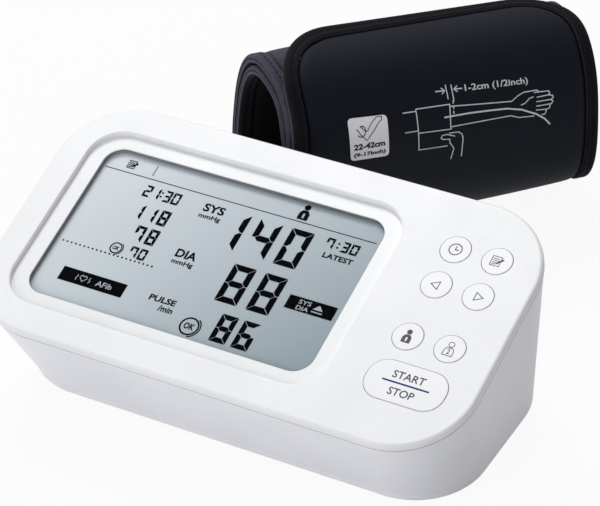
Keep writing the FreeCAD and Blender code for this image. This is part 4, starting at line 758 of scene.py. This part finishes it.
def quilt_heights(grid):
    """How far the outer and inner cloth swell at every point: cloth held at its edge and pushed
    out from inside, flat, before it is rolled."""
    mesh = bmesh.new()
    layers = []
    for side in (1, -1):
        layers.append([[mesh.verts.new((s * MM, a * MM, side * HALF * MM)) for s, a in row]
                       for row in grid])
    for layer, turned in zip(layers, (1, -1)):
        for i, j in CELLS:
            corners = (layer[i][j], layer[i + 1][j], layer[i + 1][j + 1], layer[i][j + 1])
            mesh.faces.new(corners[::turned])
    upper, lower = layers
    for i in range(ROWS):
        mesh.faces.new((upper[i + 1][0], upper[i][0], lower[i][0], lower[i + 1][0]))
        mesh.faces.new((upper[i][-1], upper[i + 1][-1], lower[i + 1][-1], lower[i][-1]))
    for j in range(COLUMNS):
        mesh.faces.new((upper[0][j], upper[0][j + 1], lower[0][j + 1], lower[0][j]))
        mesh.faces.new((upper[-1][j + 1], upper[-1][j], lower[-1][j], lower[-1][j + 1]))
    mesh.verts.index_update()
    size = len(upper) * len(upper[0])
    held = [layer * size + i * (COLUMNS + 1) + j for layer in (0, 1) for i in ROW_STEPS
            for j in COLUMN_STEPS if i in (0, ROWS) or j in (0, COLUMNS)]
    flat = bpy.data.meshes.new("cloth")
    mesh.to_mesh(flat)
    mesh.free()
    cloth = bpy.data.objects.new("cloth", flat)
    bpy.context.scene.collection.objects.link(cloth)
    cloth.vertex_groups.new(name="held").add(held, 1.0, "REPLACE")
    settings = cloth.modifiers.new("cloth", "CLOTH").settings
    settings.quality = 5
    settings.mass = 0.2
    settings.tension_stiffness = settings.compression_stiffness = 20
    settings.shear_stiffness = 8
    settings.bending_stiffness = 2
    settings.vertex_group_mass = "held"
    settings.use_pressure = True
    settings.uniform_pressure_force = 4
    settings.effector_weights.gravity = 0
    scene = bpy.context.scene
    for moment in range(1, 21):
        scene.frame_set(moment)
        swollen = cloth.evaluated_get(bpy.context.evaluated_depsgraph_get()).to_mesh()
    levels = [vertex.co.z / MM for vertex in swollen.vertices]
    scene.frame_set(1)
    bpy.data.objects.remove(cloth)
    top = max(abs(level) for level in levels) - HALF
    return [[[max(0.0, (side * levels[layer * size + i * (COLUMNS + 1) + j] - HALF) / top)
              for j in COLUMN_STEPS] for i in ROW_STEPS] for layer, side in ((0, 1), (1, -1))]


GRID = pad_grid()
OUTER_SWELL, INNER_SWELL = quilt_heights(GRID)


WOUND_SWELL = 0.35  # the most that cloth between two turns may stand proud


def outer_cap(reach):
    """The most that the outer cloth may stand proud: more on the free turn than between turns."""
    return 1.1 if reach < 250 else WOUND_SWELL


def inner_cap(reach):
    """The same for the inner cloth, which is free on the last turn and flat at the free end."""
    return 0.2 if reach < 60 else (1.0 if reach > 330 else WOUND_SWELL)


def swell_at(reach, across):
    """How far the outer cloth stands proud at a point."""
    i = min(max((reach - EDGE) / PAD_LENGTH * ROWS, 0), ROWS - 0.001)
    row = GRID[int(i)]
    j = min(max((across - row[0][1]) / (row[-1][1] - row[0][1]) * COLUMNS, 0), COLUMNS - 0.001)
    a, b = int(i), int(j)
    u, v = i - a, j - b
    near, far = [between(*OUTER_SWELL[k][b:b + 2], v) for k in (a, a + 1)]
    return between(near, far, u) * outer_cap(reach)


def on_cuff(x, y, z):
    """A point on the outer cloth: X along the roll, Y towards the free end, Z off the cloth."""
    return roll(angle_at(-y), x, -swell_at(-y, x) - z)


def cuff_pad():
    """The quilted field: smooth panel outside on the free turn, loop fabric on the rest, plain
    cloth inside."""
    mesh = bmesh.new()
    cloth_map = mesh.loops.layers.uv.new("cloth")
    layers = []
    for face_depth, way, swell, cap in ((0.0, -1, OUTER_SWELL, outer_cap),
                                        (CUFF_WALL, 1, INNER_SWELL, inner_cap)):
        layer = [[face_depth + way * swell[i][j] * cap(GRID[i][j][0]) for j in COLUMN_STEPS]
                 for i in ROW_STEPS]
        for i, j in around(ROWS, COLUMNS):
            layer[i][j] = face_depth - way * 0.5
        layers.append([[mesh.verts.new(roll(angle_at(reach), across, depth))
                        for (reach, across), depth in zip(*rows)] for rows in zip(GRID, layer)])
    for number, layer in enumerate(layers):
        for i, j in CELLS:
            corners = [(i, j), (i, j + 1), (i + 1, j + 1), (i + 1, j)]
            if number == 0:
                corners.reverse()
            made = mesh.faces.new([layer[a][b] for a, b in corners])
            made.material_index = 2 if number else (0 if GRID[i][j][0] < PANEL_END else 1)
            for loop, (a, b) in zip(made.loops, corners):
                loop[cloth_map].uv = (GRID[a][b][0] * MM, GRID[a][b][1] * MM)
    wall(mesh, *[[layer[i][j] for i, j in around(ROWS, COLUMNS)] for layer in layers], 2)
    bmesh.ops.recalc_face_normals(mesh, faces=mesh.faces)
    pad = piece(mesh, "cuff_pad", ("cover_fabric", "velour", "inner_fabric"), "cuff")
    subdivided(pad)
    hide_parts("cuff_outer_cover", "cuff_inner_cover")


def rim_course():
    """Points round the cuff's edge: distance along, place across and the way inwards."""
    course = []
    corners = [(CORNER, CORNER, 180), (LENGTH - CORNER, CORNER, 270),
               (LENGTH - CORNER, WIDTH - CORNER, 0), (CORNER, WIDTH - CORNER, 90)]
    for (s, a, start), following in zip(corners, corners[1:] + corners[:1]):
        for i in range(13):
            turn = math.radians(start + 90 * i / 12)
            way = (math.cos(turn), math.sin(turn))
            course.append((s + CORNER * way[0], a + CORNER * way[1], -way[0], -way[1]))
        way = (math.cos(math.radians(start + 90)), math.sin(math.radians(start + 90)))
        s0, a0 = course[-1][:2]
        s1, a1 = following[0] + CORNER * way[0], following[1] + CORNER * way[1]
        count = int(math.hypot(s1 - s0, a1 - a0) / STITCH)
        course += [(between(s0, s1, i / count), between(a0, a1, i / count), -way[0], -way[1])
                   for i in range(1, count)]
    return course


# The binding's section, as the distance in from the rim and the depth under the outer face.
RIDGES = [(6.1, 0.55), (5.9, 0.05), (5.3, -0.22), (4.6, -0.25), (3.9, -0.12), (3.4, 0.12),
          (3.0, -0.05), (2.3, -0.25), (1.3, -0.22), (0.55, 0.1), (0.12, 0.9), (0.0, 1.7),
          (0.0, 2.8), (0.12, 3.6), (0.55, 4.4), (1.3, 4.72), (2.3, 4.75), (3.0, 4.55),
          (3.4, 4.38), (3.9, 4.62), (4.6, 4.75), (5.3, 4.72), (5.9, 4.45), (6.1, 3.95)]
OUTER_RIDGES = 11
RIDGE_STEP = 0.7  # mean width between two of them, on the cloth's map
GROOVE = 3.4  # where the binding is sewn down, in from the rim
STITCH = 3.0  # from one stitch to the next, and between points of the rim


def cuff_edge():
    """The bound edge: tape folded over the rim, with a groove where it is sewn down; where the
    cloth is wound up, the loop fabric runs out over it."""
    mesh = bmesh.new()
    cloth_map = mesh.loops.layers.uv.new("cloth")
    course = rim_course()
    far, rings = 0.0, []
    for n, (s, a, ds, da) in enumerate(course):
        if n:
            far += math.hypot(s - course[n - 1][0], a - course[n - 1][1])
        ring = [mesh.verts.new(roll(angle_at(s + ds * w), a + da * w, d)) for w, d in RIDGES]
        rings.append((ring, far))
    count, size = len(rings), len(RIDGES)
    for n in range(count):
        (ring, here), (following, there) = rings[n], rings[(n + 1) % count]
        there = there if n < count - 1 else here + STITCH
        for k in range(size):
            m = (k + 1) % size
            made = mesh.faces.new((ring[k], ring[m], following[m], following[k]))
            made.material_index = 1 if course[n][0] > PANEL_END and k < OUTER_RIDGES else 0
            spots = ((here, k), (here, k + 1), (there, k + 1), (there, k))
            for loop, (u, v) in zip(made.loops, spots):
                loop[cloth_map].uv = (u * MM, v * RIDGE_STEP * MM)
    bmesh.ops.recalc_face_normals(mesh, faces=mesh.faces)
    edge = piece(mesh, "cuff_edge", ("binding_fabric", "velour"), "cuff")
    subdivided(edge)
    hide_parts("cuff_binding")


def cuff_stitches():
    """Lock stitches along the groove of the binding, on both faces."""
    mesh = bmesh.new()
    course = rim_course()
    spare = 0.0
    for (s0, a0, ds, da), (s1, a1, *_) in zip(course, course[1:] + course[:1]):
        run = math.hypot(s1 - s0, a1 - a0)
        us, ua = (s1 - s0) / run, (a1 - a0) / run
        at = spare
        while at < run:
            s, a = [between(*pair, at / run) for pair in ((s0, s1), (a0, a1))]
            s, a = s + ds * GROOVE, a + da * GROOVE
            for depth, lift in ((-0.1, -0.22), (4.6, 4.72)):
                ends = []
                for along, wide, level in ((-1.1, 0.06, depth), (-0.5, 0.22, lift),
                                           (0.5, 0.22, lift), (1.1, 0.06, depth)):
                    ends.append([mesh.verts.new(roll(angle_at(s + us * along - ua * side * wide),
                                                     a + ua * along + us * side * wide, level))
                                 for side in (-1, 1)])
                for (p, q), (r, t) in zip(ends, ends[1:]):
                    mesh.faces.new((p, q, t, r) if depth > 0 else (r, t, q, p))
            at += STITCH
        spare = at - run
    piece(mesh, "cuff_stitches", "thread", "cuff")


# The diagram's strokes: place along the roll and distance from the free end.
TUBE = [(68.9, 52.5), (80.7, 53.2), (90.9, 54.3), (99.1, 55.4), (106.1, 57.6), (113.4, 61.7),
        (117.5, 65.2), (120.1, 68.9)]
ARM = [
    [(55.7, 45.9), (71.7, 47.2), (71.8, 57.5), (72.2, 58.9)],
    [(55.7, 45.9), (56.6, 57.1), (57.1, 65.8), (70.7, 67.2)],
    [(56.7, 57.1), (72.0, 58.8)],
    [(49.5, 46.3), (55.7, 46.8)],
    [(50.3, 55.4), (56.4, 55.9)],
    [(71.7, 48.1), (101.4, 52.5), (104.6, 50.6), (107.4, 49.7), (114.0, 50.1), (114.9, 51.2)],
    [(72.2, 57.7), (100.8, 59.3), (104.7, 61.2), (112.3, 62.4)],
    [(105.8, 55.3), (107.9, 54.9), (110.1, 53.1), (112.2, 52.8)],
    [(112.4, 50.9), (119.6, 51.7), (120.2, 52.8), (119.3, 53.6), (113.7, 53.4)],
    [(119.3, 53.6), (121.5, 54.2), (121.8, 55.4), (120.7, 56.1), (113.5, 55.5)],
    [(120.7, 56.1), (121.6, 57.1), (120.8, 58.2), (113.3, 57.7)],
    [(120.2, 58.2), (119.8, 60.1), (118.3, 60.4), (113.1, 59.6)],
    [(118.3, 60.6), (117.6, 62.7), (115.8, 62.6)],
]
MARKS = [
    *[[(73.4, start), (73.5, start + 1.4)] for start in (46.0, 48.2, 50.4)],
    [(70.9, 39.0), (71.3, 45.0)],
    [(73.5, 39.3), (73.9, 46.4)],
    [(65.7, 40.7), (70.0, 41.2)],
    [(68.6, 39.8), (70.1, 41.2), (68.7, 42.3)],
    [(78.6, 41.9), (74.7, 41.4)],
    [(76.3, 40.3), (74.6, 41.4), (76.1, 42.8)],
    [(74.0, 62.9), (70.0, 61.0), (67.8, 61.1), (67.4, 62.3), (68.3, 63.2), (71.5, 63.9),
     (71.8, 66.0), (73.8, 69.4), (72.7, 74.8)],
    [(71.1, 60.6), (75.7, 61.2), (77.3, 62.7), (77.9, 64.9), (77.7, 74.7)],
]


def ink_strokes(layer, strokes, width):
    for points in strokes:
        layer.stroke([(a, -s) for a, s in points], width)


def cuff_diagram():
    """How the cuff goes on an arm: simple strokes on the panel."""
    layer = Print(CUFF_PRINT, on_cuff)
    for strokes, width in ((ARM, 0.5), ([TUBE], 0.8), (MARKS, 0.5)):
        ink_strokes(layer, strokes, width)
    ink_words(layer, "1-2cm (1/2inch)", [(79.7, 44.1), (110.1, 47.1)], 3.6, 0.018)
    layer.done("cuff_diagram", "cuff_ink", "cuff")


def ink_words(layer, text, ends, height, weight):
    """Lettering whose foot runs from one end to the other on the cloth."""
    (a0, s0), (a1, s1) = ends
    plain = layer.place

    def sloping(x, y, z):
        return plain(x, y - s0 - (s1 - s0) * (x - a0) / (a1 - a0), z)

    layer.place = sloping
    layer.words(text, a0, 0.0, a1, height, weight)
    layer.place = plain


def cuff_label():
    """A heat-bonded tag with the arm sizes that the cuff fits."""
    corners = [(23.9, 43.2), (42.0, 45.1), (43.0, 64.8), (25.3, 63.3)]
    tag_length, tag_width, tag_corner = 20, 18, 1.8
    mesh = bmesh.new()
    count = 14
    steps = range(count + 1)
    grids = []
    for level in TAG:
        grid = [[None] * (count + 1) for _ in steps]
        for i in steps:
            for j in steps:
                v = 0.5 - 0.5 * math.cos(math.pi * j / count)
                inset = corner_inset(v * tag_length, tag_corner, tag_length) / tag_width
                w = inset + i / count * (1 - 2 * inset)
                a, s = [between(between(c0, c1, w), between(c3, c2, w), v)
                        for c0, c1, c2, c3 in zip(*corners)]
                grid[i][j] = mesh.verts.new(on_cuff(a, -s, level))
        grids.append(grid)
    lower, upper = grids
    for i in range(count):
        for j in range(count):
            ring = [(i, j), (i, j + 1), (i + 1, j + 1), (i + 1, j)]
            mesh.faces.new([upper[a][b] for a, b in ring])
            mesh.faces.new([lower[a][b] for a, b in ring[::-1]])
    wall(mesh, *[[grid[i][j] for j, i in around(count, count)] for grid in grids])
    bmesh.ops.recalc_face_normals(mesh, faces=mesh.faces)
    tag = piece(mesh, "size_label", "label_grey", "cuff", smooth=False)
    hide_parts("cuff_label")
    layer = Print(TAG_PRINT, on_cuff)
    arm = [[(27.8, 48.5), (29.6, 51.3), (32.4, 54.7)], [(32.4, 54.7), (36.0, 50.5), (38.1, 47.6)],
           [(29.3, 47.5), (31.5, 50.0), (32.7, 50.4), (34.8, 47.1), (36.3, 45.9)],
           [(38.1, 47.6), (39.3, 47.0), (39.6, 45.6)],
           [(36.3, 45.9), (37.1, 45.2), (38.3, 45.2), (39.6, 45.6)]]
    ink_strokes(layer, arm, 0.34)
    layer.arc(30.0, -50.1, 1.9, 0.34, -150, 100, 1.25)
    ink_words(layer, "22-42cm", [(26.5, 58.3), (40.9, 59.1)], 2.9, 0.04)
    ink_words(layer, "(9-17inch)", [(26.7, 62.3), (41.3, 63.2)], 2.5, 0.04)
    layer.done("size_label_print", "label_ink", "cuff")


display_image()
display_edge()
gap_shades()
key_marks()
cuff_pad()
cuff_edge()
cuff_stitches()
cuff_diagram()
cuff_label()


# ---- floor, light and camera

FLOOR_HALF = 6  # metres
FLOOR_COLOUR = (0.74, 0.74, 0.75, 1)
FLOOR_GLOW = 0.93  # how much of what the camera sees of the floor is plain white
WORLD_LIGHT = 0.35


def added(tree, kind, *sources, **settings):
    """A new node whose first sockets are fed by other nodes' sockets."""
    made = tree.nodes.new("ShaderNode" + kind)
    for name, value in settings.items():
        setattr(made, name, value)
    for socket, source in zip(made.inputs, sources):
        tree.links.new(source, socket)
    return made


def camera_share(tree):
    """1 for the rays that see or mirror the surroundings, 0 for those that light the object."""
    path = added(tree, "LightPath")
    total = path.outputs["Is Camera Ray"]
    for name in ("Is Glossy Ray", "Is Transmission Ray"):
        total = added(tree, "Math", total, path.outputs[name], operation="ADD",
                      use_clamp=True).outputs[0]
    return total


def studio():
    """A floor that takes a faint shadow, and an even white world."""
    plain = bpy.data.materials.new("floor")
    plain.use_nodes = True
    tree = plain.node_tree
    tree.nodes.clear()
    matt = added(tree, "BsdfDiffuse")
    matt.inputs["Color"].default_value = FLOOR_COLOUR
    share = added(tree, "Math", camera_share(tree), operation="MULTIPLY")
    share.inputs[1].default_value = FLOOR_GLOW
    mix = added(tree, "MixShader", share.outputs[0], matt.outputs[0],
                added(tree, "Emission").outputs[0])
    added(tree, "OutputMaterial", mix.outputs[0])
    mesh = bpy.data.meshes.new("floor")
    corners = [(x * FLOOR_HALF, y * FLOOR_HALF, 0) for x, y in ((-1, -1), (1, -1), (1, 1), (-1, 1))]
    mesh.from_pydata(corners, [], [(0, 1, 2, 3)])
    mesh.materials.append(plain)
    floor = bpy.data.objects.new("floor", mesh)
    bpy.context.scene.collection.objects.link(floor)

    world = bpy.data.worlds.new("studio")
    world.use_nodes = True
    bpy.context.scene.world = world
    tree = world.node_tree
    back = tree.nodes["Background"]
    level = added(tree, "MapRange", camera_share(tree))
    level.inputs["To Min"].default_value = WORLD_LIGHT
    level.inputs["To Max"].default_value = 1.0
    tree.links.new(level.outputs[0], back.inputs["Strength"])
    back.inputs["Color"].default_value = (1, 1, 1, 1)


def lamp(name, place, aim, size, power):
    """A round soft lamp; its place and aim are in metres, its power in watts."""
    light = bpy.data.lights.new(name, "AREA")
    light.shape = "DISK"
    light.size = size
    light.energy = power
    thing = bpy.data.objects.new(name, light)
    thing.location = place
    thing.rotation_euler = (Vector(aim) - Vector(place)).to_track_quat("-Z", "Y").to_euler()
    bpy.context.scene.collection.objects.link(thing)


def camera():
    """The photograph's viewpoint, fitted to the housing's corners, the keys and the cuff."""
    view = bpy.data.cameras.new("camera")
    view.sensor_width = 36.0
    view.lens = 169.02
    view.clip_start = 0.05
    thing = bpy.data.objects.new("camera", view)
    thing.location = (0.48183, -0.76285, 0.72954)
    thing.rotation_euler = Euler([math.radians(turn) for turn in (53.531, 3.0175, 29.3358)])
    bpy.context.scene.collection.objects.link(thing)
    bpy.context.scene.camera = thing


studio()
lamp("key", (-0.7, 0.78, 1.56), (0, 0.03, 0.04), 0.85, 20.4)
lamp("fill", (-0.3, -1.2, 0.42), (0, 0.0, 0.04), 0.9, 6.4)
camera()
bpy.context.scene.view_settings.view_transform = "Standard"
